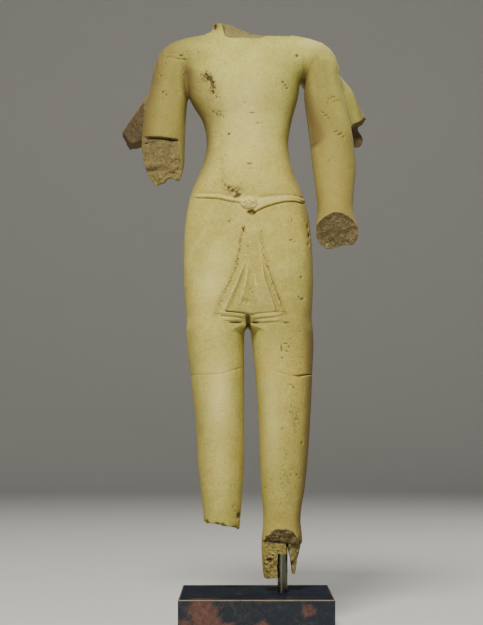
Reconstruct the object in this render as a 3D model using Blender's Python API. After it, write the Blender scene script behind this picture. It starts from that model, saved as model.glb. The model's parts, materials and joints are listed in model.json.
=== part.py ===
"""A headless four-armed deity in sandstone, held up by a steel rod that stands in a marble plinth.

Metres, +Z up. The figure faces -Y, so its right side is at -X. The origin is the centre of the plinth's
underside. Figure dimensions are measured from the figure's own upright axis, which stands FIGURE_SHIFT
beside the plinth's.

The figure is one solid. Its trunk, yoke, limbs and neck are lofts through named stations, its garment is
laid on those lofts, and the breaks are cut last, by slabs with a rough face.
"""

import math

import bmesh
import bpy
import numpy as np
from mathutils import Matrix, Vector

# Plinth and rod
PLINTH_WIDTH = 0.300
PLINTH_DEPTH = 0.280
PLINTH_HEIGHT = 0.080
PLINTH_CHAMFER = 0.0015
FIGURE_SHIFT = -0.016
ROD_RADIUS = 0.010
ROD_SHIFT = 0.0688
ROD_FOOT = 0.040
ROD_TOP = 0.186
FIT = 0.0003

# Each row of a column: height, side shift, half width, depth in front of the axis, depth behind it.
TRUNK = (
    (0.606, 0.003, 0.1235, 0.060, 0.076),
    (0.635, 0.003, 0.1265, 0.068, 0.083),
    (0.675, 0.002, 0.1280, 0.073, 0.091),
    (0.715, 0.001, 0.1290, 0.074, 0.094),
    (0.775, 0.000, 0.1280, 0.070, 0.088),
    (0.822, -0.001, 0.1240, 0.068, 0.074),
    (0.871, -0.002, 0.1130, 0.068, 0.058),
    (0.919, -0.002, 0.0935, 0.063, 0.046),
    (0.968, -0.001, 0.0825, 0.055, 0.043),
    (1.017, -0.001, 0.0880, 0.057, 0.050),
    (1.065, -0.0085, 0.1068, 0.067, 0.062),
    (1.110, -0.009, 0.1150, 0.069, 0.070),
    (1.145, -0.005, 0.1160, 0.060, 0.068),
    (1.172, -0.002, 0.1020, 0.042, 0.058),
    (1.188, -0.002, 0.0720, 0.020, 0.040),
)
TRUNK_SQUARENESS = 2.35

# Each row of a limb: height, side, depth of its centre behind the axis, half width, half depth.
LEG_RIGHT = (
    (0.205, -0.0514, 0.008, 0.0345, 0.037),
    (0.270, -0.0520, 0.010, 0.0405, 0.043),
    (0.330, -0.0535, 0.012, 0.0460, 0.051),
    (0.413, -0.0558, 0.009, 0.0486, 0.054),
    (0.509, -0.0608, 0.001, 0.0535, 0.060),
    (0.605, -0.0650, 0.005, 0.0580, 0.069),
    (0.660, -0.0600, 0.008, 0.0560, 0.066),
)
LEG_LEFT = (
    (0.100, 0.0640, 0.010, 0.0300, 0.034),
    (0.124, 0.0644, 0.009, 0.0345, 0.037),
    (0.151, 0.0660, 0.008, 0.0385, 0.040),
    (0.175, 0.0676, 0.007, 0.0408, 0.042),
    (0.223, 0.0678, 0.007, 0.0370, 0.039),
    (0.286, 0.0698, 0.011, 0.0435, 0.046),
    (0.345, 0.0718, 0.012, 0.0482, 0.052),
    (0.413, 0.0730, 0.009, 0.0512, 0.055),
    (0.509, 0.0722, 0.001, 0.0566, 0.061),
    (0.605, 0.0680, 0.005, 0.0620, 0.070),
    (0.660, 0.0610, 0.008, 0.0580, 0.067),
)
ARM_RIGHT = (
    (0.886, -0.1720, 0.012, 0.0070, 0.010),
    (0.893, -0.1712, 0.012, 0.0225, 0.024),
    (0.909, -0.1702, 0.012, 0.0355, 0.036),
    (0.935, -0.1705, 0.011, 0.0418, 0.042),
    (0.980, -0.1705, 0.010, 0.0440, 0.044),
    (1.030, -0.1672, 0.007, 0.0425, 0.043),
    (1.062, -0.1630, 0.006, 0.0405, 0.043),
    (1.090, -0.1580, 0.005, 0.0385, 0.043),
    (1.137, -0.1470, 0.005, 0.0375, 0.044),
    (1.176, -0.1280, 0.007, 0.0250, 0.029),
)
ARM_LEFT = (
    (0.740, 0.1775, -0.106, 0.0420, 0.045),
    (0.800, 0.1755, -0.075, 0.0405, 0.045),
    (0.834, 0.1730, -0.055, 0.0352, 0.043),
    (0.880, 0.1735, -0.028, 0.0384, 0.045),
    (0.930, 0.1735, -0.002, 0.0436, 0.046),
    (0.985, 0.1690, 0.008, 0.0438, 0.044),
    (1.030, 0.1618, 0.008, 0.0425, 0.043),
    (1.074, 0.1545, 0.006, 0.0395, 0.043),
    (1.110, 0.1505, 0.005, 0.0362, 0.044),
    (1.140, 0.1430, 0.005, 0.0375, 0.044),
    (1.176, 0.1250, 0.007, 0.0250, 0.029),
)

# The rear arms are straight bars: centre of the shoulder end, centre of the far end, their two radii.
REAR_ARM_RIGHT = ((-0.112, 0.030, 1.152), (-0.260, 0.106, 0.950), 0.038, 0.037)
REAR_ARM_LEFT = ((0.118, 0.030, 1.158), (0.258, 0.106, 0.958), 0.038, 0.037)

REAR_ARM_REST = ((0.200, 0.088, 1.044), (0.224, 0.098, 0.994), 0.020, 0.012)

# The yoke runs from shoulder to shoulder. Each row: distance out, top, underside, front, back.
YOKE_SHIFT = -0.002
YOKE = (
    (0.000, 1.197, 1.130, 0.040, 0.062),
    (0.050, 1.198, 1.124, 0.045, 0.061),
    (0.100, 1.194, 1.118, 0.047, 0.055),
    (0.134, 1.187, 1.108, 0.043, 0.049),
    (0.156, 1.178, 1.098, 0.037, 0.044),
    (0.171, 1.165, 1.100, 0.030, 0.037),
    (0.180, 1.149, 1.106, 0.021, 0.026),
    (0.184, 1.135, 1.116, 0.010, 0.012),
)

# The neck: height, side, depth behind the axis, half width, half depth.
NECK = (
    (1.150, -0.018, 0.008, 0.066, 0.058),
    (1.190, -0.024, 0.010, 0.052, 0.055),
    (1.215, -0.024, 0.010, 0.048, 0.050),
    (1.260, -0.024, 0.010, 0.047, 0.049),
)

# Each break: point on it, direction it faces, its width, height and depth as cut, and its roughness.
BREAKS = (
    ("elbow_face", (-0.172, -0.013, 0.932), (-0.25, -0.97, 0), 0.110, 0.102, 0.05, 0.004),
    ("elbow_foot", (-0.170, 0.010, 0.902), (0.10, 0, -1), 0.095, 0.120, 0.04, 0.010),
    ("wrist", (0.178, -0.077, 0.790), (0, -0.72, -0.69), 0.100, 0.160, 0.10, 0.006),
    ("rear_right_side", (-0.251, 0.085, 1.008), (-0.85, -0.35, -0.38), 0.100, 0.140, 0.06, 0.006),
    ("rear_right_foot", (-0.245, 0.090, 0.989), (0.10, -0.10, -0.98), 0.100, 0.140, 0.06, 0.006),
    ("rear_left", (0.236, 0.100, 1.026), (0.75, 0, -0.66), 0.092, 0.200, 0.10, 0.008),
    ("shin", (-0.053, 0.008, 0.2145), (-0.15, -0.06, -0.98), 0.120, 0.120, 0.04, 0.006),
    ("ankle", (0.068, -0.020, 0.182), (0, -0.86, -0.50), 0.110, 0.070, 0.05, 0.005),
    ("foot", (0.068, -0.012, 0.120), (0, -1, 0), 0.110, 0.110, 0.05, 0.005),
    ("heel", (0.096, 0.010, 0.124), (0.70, 0, -0.72), 0.120, 0.050, 0.05, 0.004),
)
NECK_BREAK = ((0, 0, 1.2), (0, 0, 1), 0.24, 0.18, 0.09, 0.004)
# The neck's break is a slope from its crest down over a floor. Heights are above the break's own point.
NECK_CREST = (-0.042, 0.050)
NECK_CREST_RISE = 0.028
NECK_FALL_LEFT = 0.41
NECK_FALL_FORWARD = 0.55
NECK_FLOOR_DROP = 0.0035
NECK_FLOOR_FALL = 0.25
NECK_FLOOR_EDGE = 0.025
NECK_FLOOR_WALL = 1.2
HEEL_NOTCH = ((0.0582, -0.08, 0.080), (0.0869, 0.08, 0.160))
FACE_STEPS = 7
BLEND_VOXEL = 0.005
BLEND_PASSES = 6
BLEND_SHARE = 0.053

# Garment: a waist cloth rolled at its upper edge, knotted in front, and pleated down to its lower edge
BELT_HEIGHT = 0.870
BELT_DIP = 0.014
BELT_RADIUS = 0.0040
BELT_SINK = 0.0018
FOLD_REACH = 0.112
FOLD_DROP = (0.0045, 0.0265)
FOLD_RADII = (0.0024, 0.0048)
KNOT = (0.0045, 0.848)
KNOT_RADII = (0.0180, 0.0100, 0.0130)
HEM_HEIGHT = 0.511
HEM_RADIUS = 0.0024
HEM_INNER_RISE = 0.012
FAN_TOP = 0.792
FAN_FOOT = 0.617
FAN_CENTRE = 0.007
FAN_TOP_HALF = 0.016
FAN_FOOT_HALF = 0.070
FAN_PLEATS = 3
FAN_RELIEF = 0.0028
FAN_SPREAD = 1.35
FAN_PROUD = 0.0004
FAN_ROOT = 0.012
ROUND = 2 * math.pi
SHARP_FROM = math.radians(40)


def clear_scene():
    for obj in list(bpy.data.objects):
        bpy.data.objects.remove(obj, do_unlink=True)


def material(name, colour, roughness, metallic=0.0):
    made = bpy.data.materials.new(name)
    made.use_nodes = True
    shader = made.node_tree.nodes["Principled BSDF"]
    shader.inputs["Base Color"].default_value = (*colour, 1.0)
    shader.inputs["Roughness"].default_value = roughness
    shader.inputs["Metallic"].default_value = metallic
    return made


def through(stations, at):
    """The rows of a station table read at the position `at`, on a smooth curve through all of them."""
    table = np.array(stations)
    place, values = table[:, 0], table[:, 1:]
    slope = np.gradient(values, place, axis=0)
    i = int(np.clip(np.searchsorted(place, at) - 1, 0, len(place) - 2))
    span = place[i + 1] - place[i]
    t = (at - place[i]) / span
    return (
        values[i] * (1 + 2 * t) * (1 - t) ** 2
        + values[i + 1] * t * t * (3 - 2 * t)
        + span * slope[i] * t * (1 - t) ** 2
        + span * slope[i + 1] * t * t * (t - 1)
    )


def power(value, squareness):
    """A sine or cosine squared off towards a superellipse."""
    return math.copysign(abs(value) ** (2 / squareness), value)


def trunk_point(height, angle, grow=0.0):
    """A point on the trunk. Angle 0 is the figure's left side, +X, and a quarter turn is its front."""
    shift, half, front, back = through(TRUNK, height)
    across, ahead = math.cos(angle), math.sin(angle)
    depth = front if ahead > 0 else back
    return Vector(
        (
            shift + (half + grow) * power(across, TRUNK_SQUARENESS),
            -(depth + grow) * power(ahead, TRUNK_SQUARENESS),
            height,
        )
    )


def limb_point(stations, height, angle, grow=0.0):
    side, behind, half, deep = through(stations, height)
    return Vector(
        (
            side + (half + grow) * math.cos(angle),
            behind - (deep + grow) * math.sin(angle),
            height,
        )
    )


def ring(point_at, count):
    return [point_at(ROUND * i / count) for i in range(count)]


def skin(name, rings, closed=False):
    """An object whose faces join each ring of points to the next, with its ends capped or joined."""
    mesh = bmesh.new()
    rows = [[mesh.verts.new(point) for point in points] for points in rings]
    count = len(rows[0])
    pairs = list(zip(rows, rows[1:] + rows[:1])) if closed else list(zip(rows, rows[1:]))
    for lower, upper in pairs:
        for i in range(count):
            j = (i + 1) % count
            mesh.faces.new((lower[i], lower[j], upper[j], upper[i]))
    if not closed:
        mesh.faces.new(rows[0])
        mesh.faces.new(rows[-1])
    bmesh.ops.recalc_face_normals(mesh, faces=mesh.faces)
    return from_bmesh(name, mesh)


def from_bmesh(name, mesh):
    data = bpy.data.meshes.new(name)
    mesh.to_mesh(data)
    mesh.free()
    obj = bpy.data.objects.new(name, data)
    bpy.context.scene.collection.objects.link(obj)
    return obj


def heights(stations, count):
    return np.linspace(stations[0][0], stations[-1][0], count)


def limb(name, stations, rows, sides=24):
    rings = [ring(lambda a, z=z: limb_point(stations, z, a), sides) for z in heights(stations, rows)]
    return skin(name, rings)


def bar(name, start, end, thick, thin, sides=20):
    """A straight round bar that tapers from its start to its end."""
    mesh = bmesh.new()
    start, end = Vector(start), Vector(end)
    bmesh.ops.create_cone(
        mesh, cap_ends=True, segments=sides, radius1=thick, radius2=thin, depth=(end - start).length
    )
    turn = (end - start).to_track_quat("Z", "Y").to_matrix().to_4x4()
    bmesh.ops.transform(mesh, matrix=Matrix.Translation((start + end) / 2) @ turn, verts=mesh.verts)
    return from_bmesh(name, mesh)


def trunk():
    rings = [ring(lambda a, z=z: trunk_point(z, a), 40) for z in heights(TRUNK, 24)]
    return skin("trunk", rings)


def yoke_point(out, angle):
    """A point on the yoke this far out from the axis. Angle 0 is its front, a quarter turn its top."""
    top, under, front, back = through(YOKE, abs(out))
    depth = front if math.cos(angle) > 0 else back
    height = (top + under) / 2 + (top - under) / 2 * math.sin(angle)
    return Vector((YOKE_SHIFT + out, -depth * math.cos(angle), height))


def yoke():
    rings = []
    reach = YOKE[-1][0]
    for turn in np.linspace(-math.pi / 2, math.pi / 2, 27):
        rings.append(ring(lambda a, out=reach * math.sin(turn): yoke_point(out, a), 18))
    return skin("yoke", rings)


def tube(name, path, radius, sides=8, closed=False):
    """A round bar along a path on the trunk, standing half out of it. Radius may vary along the path."""
    rings = []
    last = len(path) - 1
    for i, point in enumerate(path):
        before = path[i - 1] if i or closed else path[0]
        after = path[(i + 1) % len(path)] if i < last or closed else path[last]
        along = (after - before).normalized()
        up = Vector((0, 0, 1))
        out = along.cross(up).normalized()
        up = out.cross(along)
        thick = radius(i / last) if callable(radius) else radius
        rings.append(ring(lambda a: point + thick * (math.cos(a) * out + math.sin(a) * up), sides))
    return skin(name, rings, closed)


def belt_height(angle):
    """The rolled upper edge dips towards the knot in front."""
    front = max(0.0, math.sin(angle))
    return BELT_HEIGHT - BELT_DIP * front**6


def belt():
    """The roll at the cloth's upper edge, all round the hips."""
    path = [trunk_point(belt_height(a), a, -BELT_SINK) for a in np.linspace(0, ROUND, 56, endpoint=False)]
    return tube("belt", path, BELT_RADIUS, closed=True)


def belt_fold():
    """The second roll, which leaves the first at the figure's left hip and drops to the knot."""
    path = []
    for t in np.linspace(0, 1, 14):
        x = FOLD_REACH + (KNOT[0] - FOLD_REACH) * t
        beside, deepest = FOLD_DROP
        angle = math.acos((x / FOLD_REACH) ** (TRUNK_SQUARENESS / 2))
        path.append(front_of_trunk(x, belt_height(angle) - beside - deepest * t * t))
    slight, full = FOLD_RADII
    return tube("belt_fold", path, lambda t: slight + (full - slight) * t)


def knot():
    x, height = KNOT
    front = trunk_point(height, math.pi / 2).y
    mesh = bmesh.new()
    bmesh.ops.create_uvsphere(mesh, u_segments=18, v_segments=10, radius=1)
    size = Matrix.Diagonal((*KNOT_RADII, 1))
    bmesh.ops.transform(mesh, matrix=Matrix.Translation((x, front, height)) @ size, verts=mesh.verts)
    return from_bmesh("knot", mesh)


def fan_half(height):
    t = (FAN_TOP - height) / (FAN_TOP - FAN_FOOT)
    return FAN_TOP_HALF + (FAN_FOOT_HALF - FAN_TOP_HALF) * t**FAN_SPREAD


def front_of_trunk(x, height, grow=0.0):
    """The point on the trunk's front at this distance across."""
    shift, half, front, _ = through(TRUNK, height)
    share = min(1.0, abs(x - shift) / half) ** TRUNK_SQUARENESS
    return Vector((x, -(front + grow) * (1 - share) ** (1 / TRUNK_SQUARENESS), height))


def fan():
    """The pleated cloth in front: a panel that spreads as it falls and ends in a stacked hem."""
    across, down = 25, 11
    outer, inner = [], []
    for height in np.linspace(FAN_FOOT, FAN_TOP, down):
        fall = (FAN_TOP - height) / (FAN_TOP - FAN_FOOT)
        half = fan_half(height)
        for_row, under_row = [], []
        for u in np.linspace(-1, 1, across):
            pleat = 0.5 + 0.5 * math.cos(FAN_PLEATS * ROUND * abs(u))
            relief = FAN_RELIEF * (0.35 + 0.65 * pleat) * fall**0.6 * (1 - u**8)
            for_row.append(front_of_trunk(FAN_CENTRE + half * u, height, FAN_PROUD + relief))
            under_row.append(front_of_trunk(FAN_CENTRE + half * u, height, -FAN_ROOT))
        outer.append(for_row)
        inner.append(under_row)
    return skin("fan", [face + under[::-1] for face, under in zip(outer, inner)])


def hem_height(angle, inner):
    """The lower edge of the cloth rises towards the inner side of each leg."""
    return HEM_HEIGHT + HEM_INNER_RISE * max(0.0, math.cos(angle - inner)) ** 4


def hem(name, stations, inner):
    """The cutter of the line that marks the cloth's lower edge round one leg."""
    angles = np.linspace(0, ROUND, 26, endpoint=False)
    path = [limb_point(stations, hem_height(a, inner), a) for a in angles]
    return cutter(tube(name, path, HEM_RADIUS, sides=6, closed=True))


def cutter(obj):
    obj.hide_render = True
    obj.display_type = "WIRE"
    return obj


def broken_face(name, point, normal, width, height, depth, roughness, seed, shape=None):
    """A cutter with one rough face through a point. It takes away what lies on the normal's side.

    The face is `width` across and `height` up. A shape gives it a further height at each place on it.
    """
    chance = np.random.default_rng(seed)
    out = Vector(normal).normalized()
    level = abs(out.z) > 0.9
    along = Vector((1, 0, 0)) if level else Vector((0, 0, 1)).cross(out)
    along = (along - along.dot(out) * out).normalized()
    upward = out.cross(along)
    steps = FACE_STEPS
    near, far = [], []
    mesh = bmesh.new()
    for i in range(steps):
        for j in range(steps):
            across = (i / (steps - 1) - 0.5) * width
            up = (j / (steps - 1) - 0.5) * height
            place = Vector(point) + across * along + up * upward
            rise = roughness * (chance.random() - 0.5) + (shape(place.x, place.y) if shape else 0.0)
            near.append(mesh.verts.new(place + rise * out))
            far.append(mesh.verts.new(place + depth * out))
    for i in range(steps - 1):
        for j in range(steps - 1):
            a, b = i * steps + j, (i + 1) * steps + j
            mesh.faces.new((near[a], near[b], near[b + 1], near[a + 1]))
            mesh.faces.new((far[a], far[a + 1], far[b + 1], far[b]))
    last = steps - 1
    edge = [i * steps for i in range(last)]
    edge += [last * steps + j for j in range(last)]
    edge += [i * steps + last for i in range(last, 0, -1)]
    edge += list(range(last, 0, -1))
    for a, b in zip(edge, edge[1:] + edge[:1]):
        mesh.faces.new((near[a], far[a], far[b], near[b]))
    bmesh.ops.recalc_face_normals(mesh, faces=mesh.faces)
    return cutter(from_bmesh(name, mesh))


def neck_break_rise(x, y):
    """The neck is broken off along a slope that falls forward and to the left, down to the shoulder.

    On the slope's far side, past NECK_FLOOR_EDGE, a nearly level floor keeps the shoulder whole.
    """
    slope = NECK_CREST_RISE - NECK_FALL_LEFT * (x - NECK_CREST[0]) + NECK_FALL_FORWARD * (y - NECK_CREST[1])
    floor = NECK_FLOOR_FALL * min(y, 0.0) - NECK_FLOOR_DROP
    return max(slope, min(floor, NECK_FLOOR_WALL * (x - NECK_FLOOR_EDGE)))


def block(name, low, high):
    mesh = bmesh.new()
    bmesh.ops.create_cube(mesh, size=1)
    low, high = Vector(low), Vector(high)
    place = Matrix.Translation((low + high) / 2) @ Matrix.Diagonal((*(high - low), 1))
    bmesh.ops.transform(mesh, matrix=place, verts=mesh.verts)
    return from_bmesh(name, mesh)


def cylinder(name, x, y, low, high, radius, sides=32):
    mesh = bmesh.new()
    bmesh.ops.create_cone(
        mesh, cap_ends=True, segments=sides, radius1=radius, radius2=radius, depth=high - low
    )
    bmesh.ops.translate(mesh, vec=(x, y, (low + high) / 2), verts=mesh.verts)
    return from_bmesh(name, mesh)


def breaks():
    """The cutters that leave the figure's broken surfaces, and the hole that takes the rod."""
    faces = [broken_face(name, *row, seed) for seed, (name, *row) in enumerate(BREAKS)]
    faces.append(broken_face("neck_break", *NECK_BREAK, len(BREAKS), neck_break_rise))
    faces.append(cutter(block("heel_notch", *HEEL_NOTCH)))
    faces.append(cutter(cylinder("rod_socket", ROD_SHIFT, 0.0, 0.120, ROD_TOP + FIT, ROD_RADIUS + FIT)))
    return faces


def boolean(target, other, operation):
    made = target.modifiers.new(other.name, "BOOLEAN")
    made.operation = operation
    made.object = other
    made.solver = "EXACT"


def blend(figure):
    """Runs the joined lofts into one another, as carved stone does, and thins the mesh out again."""
    remesh = figure.modifiers.new("blend", "REMESH")
    remesh.mode = "VOXEL"
    remesh.voxel_size = BLEND_VOXEL
    soften = figure.modifiers.new("soften", "SMOOTH")
    soften.factor = 0.5
    soften.iterations = BLEND_PASSES
    thin = figure.modifiers.new("thin", "DECIMATE")
    thin.ratio = BLEND_SHARE


def statue(stone):
    """The figure: trunk and limbs run together, the garment laid on them, then the breaks."""
    figure = trunk()
    figure.name = "statue"
    body = [
        yoke(),
        limb("neck", NECK, 5),
        limb("arm_right", ARM_RIGHT, 16),
        limb("arm_left", ARM_LEFT, 18),
        bar("rear_arm_right", *REAR_ARM_RIGHT),
        bar("rear_arm_left", *REAR_ARM_LEFT),
        limb("leg_right", LEG_RIGHT, 16),
        limb("leg_left", LEG_LEFT, 18),
    ]
    garment = [
        belt(),
        belt_fold(),
        knot(),
        fan(),
    ]
    cuts = [hem("hem_right", LEG_RIGHT, 0.0), hem("hem_left", LEG_LEFT, math.pi), *breaks()]
    for piece in body:
        boolean(figure, cutter(piece), "UNION")
    blend(figure)
    for piece in garment:
        boolean(figure, cutter(piece), "UNION")
    for piece in cuts:
        boolean(figure, piece, "DIFFERENCE")
    boolean(figure, cutter(bar("rear_arm_rest", *REAR_ARM_REST, sides=10)), "UNION")
    axis = bpy.data.objects.new("figure_axis", None)
    bpy.context.scene.collection.objects.link(axis)
    axis.location.x = FIGURE_SHIFT
    figure.parent = axis
    for modifier in figure.modifiers:
        if modifier.type == "BOOLEAN":
            modifier.object.parent = axis
    figure.data.materials.append(stone)
    figure.data.shade_smooth()
    figure.data.set_sharp_from_angle(angle=SHARP_FROM)
    return figure


def mounting_rod(steel):
    rod = cylinder("mounting_rod", ROD_SHIFT + FIGURE_SHIFT, 0.0, ROD_FOOT, ROD_TOP, ROD_RADIUS)
    rod.data.materials.append(steel)
    rod.data.shade_smooth()
    rod.data.set_sharp_from_angle(angle=SHARP_FROM)
    return rod


def plinth(marble):
    """The polished block, with a blind hole for the rod."""
    half_width, half_depth = PLINTH_WIDTH / 2, PLINTH_DEPTH / 2
    base = block("plinth", (-half_width, -half_depth, 0), (half_width, half_depth, PLINTH_HEIGHT))
    chamfer = base.modifiers.new("chamfer", "BEVEL")
    chamfer.width = PLINTH_CHAMFER
    chamfer.segments = 1
    hole = cylinder(
        "rod_hole", ROD_SHIFT + FIGURE_SHIFT, 0.0, ROD_FOOT - FIT, PLINTH_HEIGHT + 0.02, ROD_RADIUS + FIT
    )
    boolean(base, cutter(hole), "DIFFERENCE")
    base.data.materials.append(marble)
    return base


def main():
    clear_scene()
    statue(material("sandstone", (0.52, 0.46, 0.25), 0.85))
    mounting_rod(material("steel", (0.30, 0.30, 0.28), 0.35, 1.0))
    plinth(material("marble", (0.08, 0.05, 0.05), 0.15))


main()
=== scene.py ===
"""The looks of a headless four-armed deity in sandstone, on a steel rod in a polished marble plinth.

The statue is one closed mesh, taken from a distance field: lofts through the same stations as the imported
model, joined smoothly, carved with the garment, and broken where the sculpture is broken. Lengths are in
metres, and x in the tables is measured from the figure's own upright axis. The figure faces -Y.
"""
import json
import math
from concurrent.futures import ThreadPoolExecutor

import bmesh
import bpy
import numpy as np
import openvdb
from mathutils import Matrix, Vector

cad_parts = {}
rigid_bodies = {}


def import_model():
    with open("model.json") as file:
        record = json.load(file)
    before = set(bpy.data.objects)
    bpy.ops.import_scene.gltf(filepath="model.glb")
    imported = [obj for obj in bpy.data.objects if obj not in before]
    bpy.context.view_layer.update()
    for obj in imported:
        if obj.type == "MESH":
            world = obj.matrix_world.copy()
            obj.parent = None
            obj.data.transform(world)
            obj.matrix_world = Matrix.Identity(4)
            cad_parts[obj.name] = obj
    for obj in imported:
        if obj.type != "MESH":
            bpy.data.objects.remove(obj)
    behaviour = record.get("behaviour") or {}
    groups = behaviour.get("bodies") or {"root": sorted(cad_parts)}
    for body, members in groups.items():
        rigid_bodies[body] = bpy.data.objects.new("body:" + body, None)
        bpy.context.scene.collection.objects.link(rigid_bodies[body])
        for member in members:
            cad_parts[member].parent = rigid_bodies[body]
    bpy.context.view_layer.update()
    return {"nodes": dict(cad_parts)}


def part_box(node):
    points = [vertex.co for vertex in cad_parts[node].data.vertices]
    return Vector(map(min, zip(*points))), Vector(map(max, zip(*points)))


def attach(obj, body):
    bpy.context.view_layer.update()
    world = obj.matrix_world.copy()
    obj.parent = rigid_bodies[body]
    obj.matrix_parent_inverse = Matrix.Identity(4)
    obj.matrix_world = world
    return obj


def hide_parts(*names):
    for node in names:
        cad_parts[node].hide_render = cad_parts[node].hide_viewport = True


# ---------------------------------------------------------------------------------------------- stations

# How far the figure's upright axis stands beside the plinth's middle.
FIGURE_SHIFT = -0.016

# Rows of a column: height, side, middle's depth behind the axis, half width, depth in front, depth behind.
TRUNK = (
    (0.606, 0.003, 0, 0.1080, 0.048, 0.062),
    (0.635, 0.003, 0, 0.1215, 0.0635, 0.079),
    (0.675, 0.002, 0, 0.1278, 0.073, 0.091),
    (0.715, 0.001, 0, 0.1290, 0.074, 0.094),
    (0.775, 0.000, 0, 0.1280, 0.070, 0.088),
    (0.822, -0.001, 0, 0.1240, 0.068, 0.074),
    (0.871, -0.002, 0, 0.1130, 0.068, 0.058),
    (0.919, -0.002, 0, 0.0935, 0.063, 0.046),
    (0.968, -0.001, 0, 0.0825, 0.055, 0.043),
    (1.017, -0.001, 0, 0.0880, 0.057, 0.050),
    (1.065, -0.0085, 0, 0.1068, 0.067, 0.062),
    (1.110, -0.009, 0, 0.1150, 0.069, 0.070),
    (1.145, -0.005, 0, 0.1160, 0.060, 0.068),
    (1.172, -0.002, 0, 0.1020, 0.042, 0.058),
    (1.188, -0.002, 0, 0.0720, 0.020, 0.040),
)
LEG_RIGHT = (
    (0.200, -0.0512, 0.008, 0.0340, 0.036, 0.036),
    (0.270, -0.0520, 0.010, 0.0405, 0.043, 0.043),
    (0.330, -0.0535, 0.012, 0.0460, 0.050, 0.052),
    (0.413, -0.0558, 0.009, 0.0486, 0.054, 0.054),
    (0.509, -0.0608, 0.001, 0.0535, 0.060, 0.060),
    (0.605, -0.0650, 0.005, 0.0580, 0.069, 0.069),
    (0.660, -0.0600, 0.008, 0.0560, 0.066, 0.066),
)
LEG_LEFT = (
    (0.090, 0.0640, 0.010, 0.0295, 0.033, 0.033),
    (0.124, 0.0644, 0.009, 0.0345, 0.037, 0.037),
    (0.151, 0.0660, 0.008, 0.0385, 0.040, 0.040),
    (0.175, 0.0676, 0.007, 0.0408, 0.042, 0.042),
    (0.223, 0.0678, 0.007, 0.0370, 0.039, 0.039),
    (0.286, 0.0698, 0.011, 0.0435, 0.045, 0.047),
    (0.345, 0.0718, 0.012, 0.0482, 0.051, 0.053),
    (0.413, 0.0730, 0.009, 0.0512, 0.055, 0.055),
    (0.509, 0.0722, 0.001, 0.0566, 0.061, 0.061),
    (0.605, 0.0680, 0.005, 0.0620, 0.070, 0.070),
    (0.660, 0.0610, 0.008, 0.0580, 0.067, 0.067),
)
ARM_RIGHT = (
    (0.880, -0.1720, 0.012, 0.0380, 0.038, 0.038),
    (0.909, -0.1712, 0.012, 0.0400, 0.040, 0.040),
    (0.935, -0.1705, 0.011, 0.0420, 0.042, 0.042),
    (0.980, -0.1705, 0.010, 0.0440, 0.044, 0.044),
    (1.030, -0.1672, 0.007, 0.0425, 0.043, 0.043),
    (1.062, -0.1630, 0.006, 0.0405, 0.043, 0.043),
    (1.090, -0.1580, 0.005, 0.0385, 0.043, 0.043),
    (1.137, -0.1470, 0.005, 0.0375, 0.044, 0.044),
    (1.176, -0.1280, 0.007, 0.0250, 0.029, 0.029),
)
ARM_LEFT = (
    (0.740, 0.1775, -0.106, 0.0420, 0.045, 0.045),
    (0.800, 0.1755, -0.075, 0.0405, 0.045, 0.045),
    (0.834, 0.1730, -0.055, 0.0352, 0.043, 0.043),
    (0.880, 0.1735, -0.028, 0.0384, 0.045, 0.045),
    (0.930, 0.1735, -0.002, 0.0436, 0.046, 0.046),
    (0.985, 0.1690, 0.008, 0.0438, 0.044, 0.044),
    (1.030, 0.1618, 0.008, 0.0425, 0.043, 0.043),
    (1.074, 0.1545, 0.006, 0.0395, 0.043, 0.043),
    (1.110, 0.1505, 0.005, 0.0362, 0.044, 0.044),
    (1.140, 0.1430, 0.005, 0.0375, 0.044, 0.044),
    (1.176, 0.1250, 0.007, 0.0250, 0.029, 0.029),
)
NECK = (
    (1.150, -0.018, 0.008, 0.066, 0.034, 0.050),
    (1.190, -0.024, 0.010, 0.052, 0.055, 0.055),
    (1.215, -0.024, 0.010, 0.048, 0.050, 0.050),
    (1.260, -0.024, 0.010, 0.047, 0.049, 0.049),
)
# Rows of the shoulders: how far out from the middle, top, underside, depth in front, depth behind.
YOKE = (
    (0.000, 1.197, 1.130, 0.040, 0.062),
    (0.050, 1.198, 1.124, 0.045, 0.061),
    (0.100, 1.194, 1.118, 0.047, 0.055),
    (0.134, 1.187, 1.108, 0.043, 0.049),
    (0.156, 1.178, 1.098, 0.037, 0.044),
    (0.171, 1.165, 1.100, 0.030, 0.037),
    (0.180, 1.149, 1.106, 0.021, 0.026),
    (0.184, 1.135, 1.116, 0.010, 0.012),
)
YOKE_SHIFT = -0.002
# Bars: where each starts, where it ends, and its radius at either end. They are the two rear arms, the lump
# of stone left behind the left elbow, and the slit in front where the legs part.
REAR_ARM_RIGHT = ((-0.112, 0.030, 1.152), (-0.260, 0.106, 0.950), 0.038, 0.037)
REAR_ARM_LEFT = ((0.118, 0.030, 1.158), (0.258, 0.106, 0.958), 0.038, 0.037)
REAR_ARM_REST = ((0.203, 0.088, 1.040), (0.2265, 0.098, 0.9965), 0.0145, 0.0125)
LEG_RECESS = ((-0.0032, -0.081, 0.6215), (-0.0008, -0.066, 0.560), 0.0046, 0.0098)
REAR_ARM_SWELL = 0.006

# The exponent of the trunk's outline, seen from above: 2 is an ellipse and more is squarer.
TRUNK_SQUARENESS = 2.35
# Sizes of the fillets where parts run into one another.
LEG_BLEND = 0.003
HIP_BLEND = 0.014
SHOULDER_BLEND = 0.024
REAR_ARM_BLEND = 0.010
ARM_BLEND = 0.008
NECK_BLEND = 0.014
WORN_EDGE = 0.0022
WORN_NECK_EDGE = 0.002
PLINTH_EDGE = 0.0022
ROD_GAP = 0.0003


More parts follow.
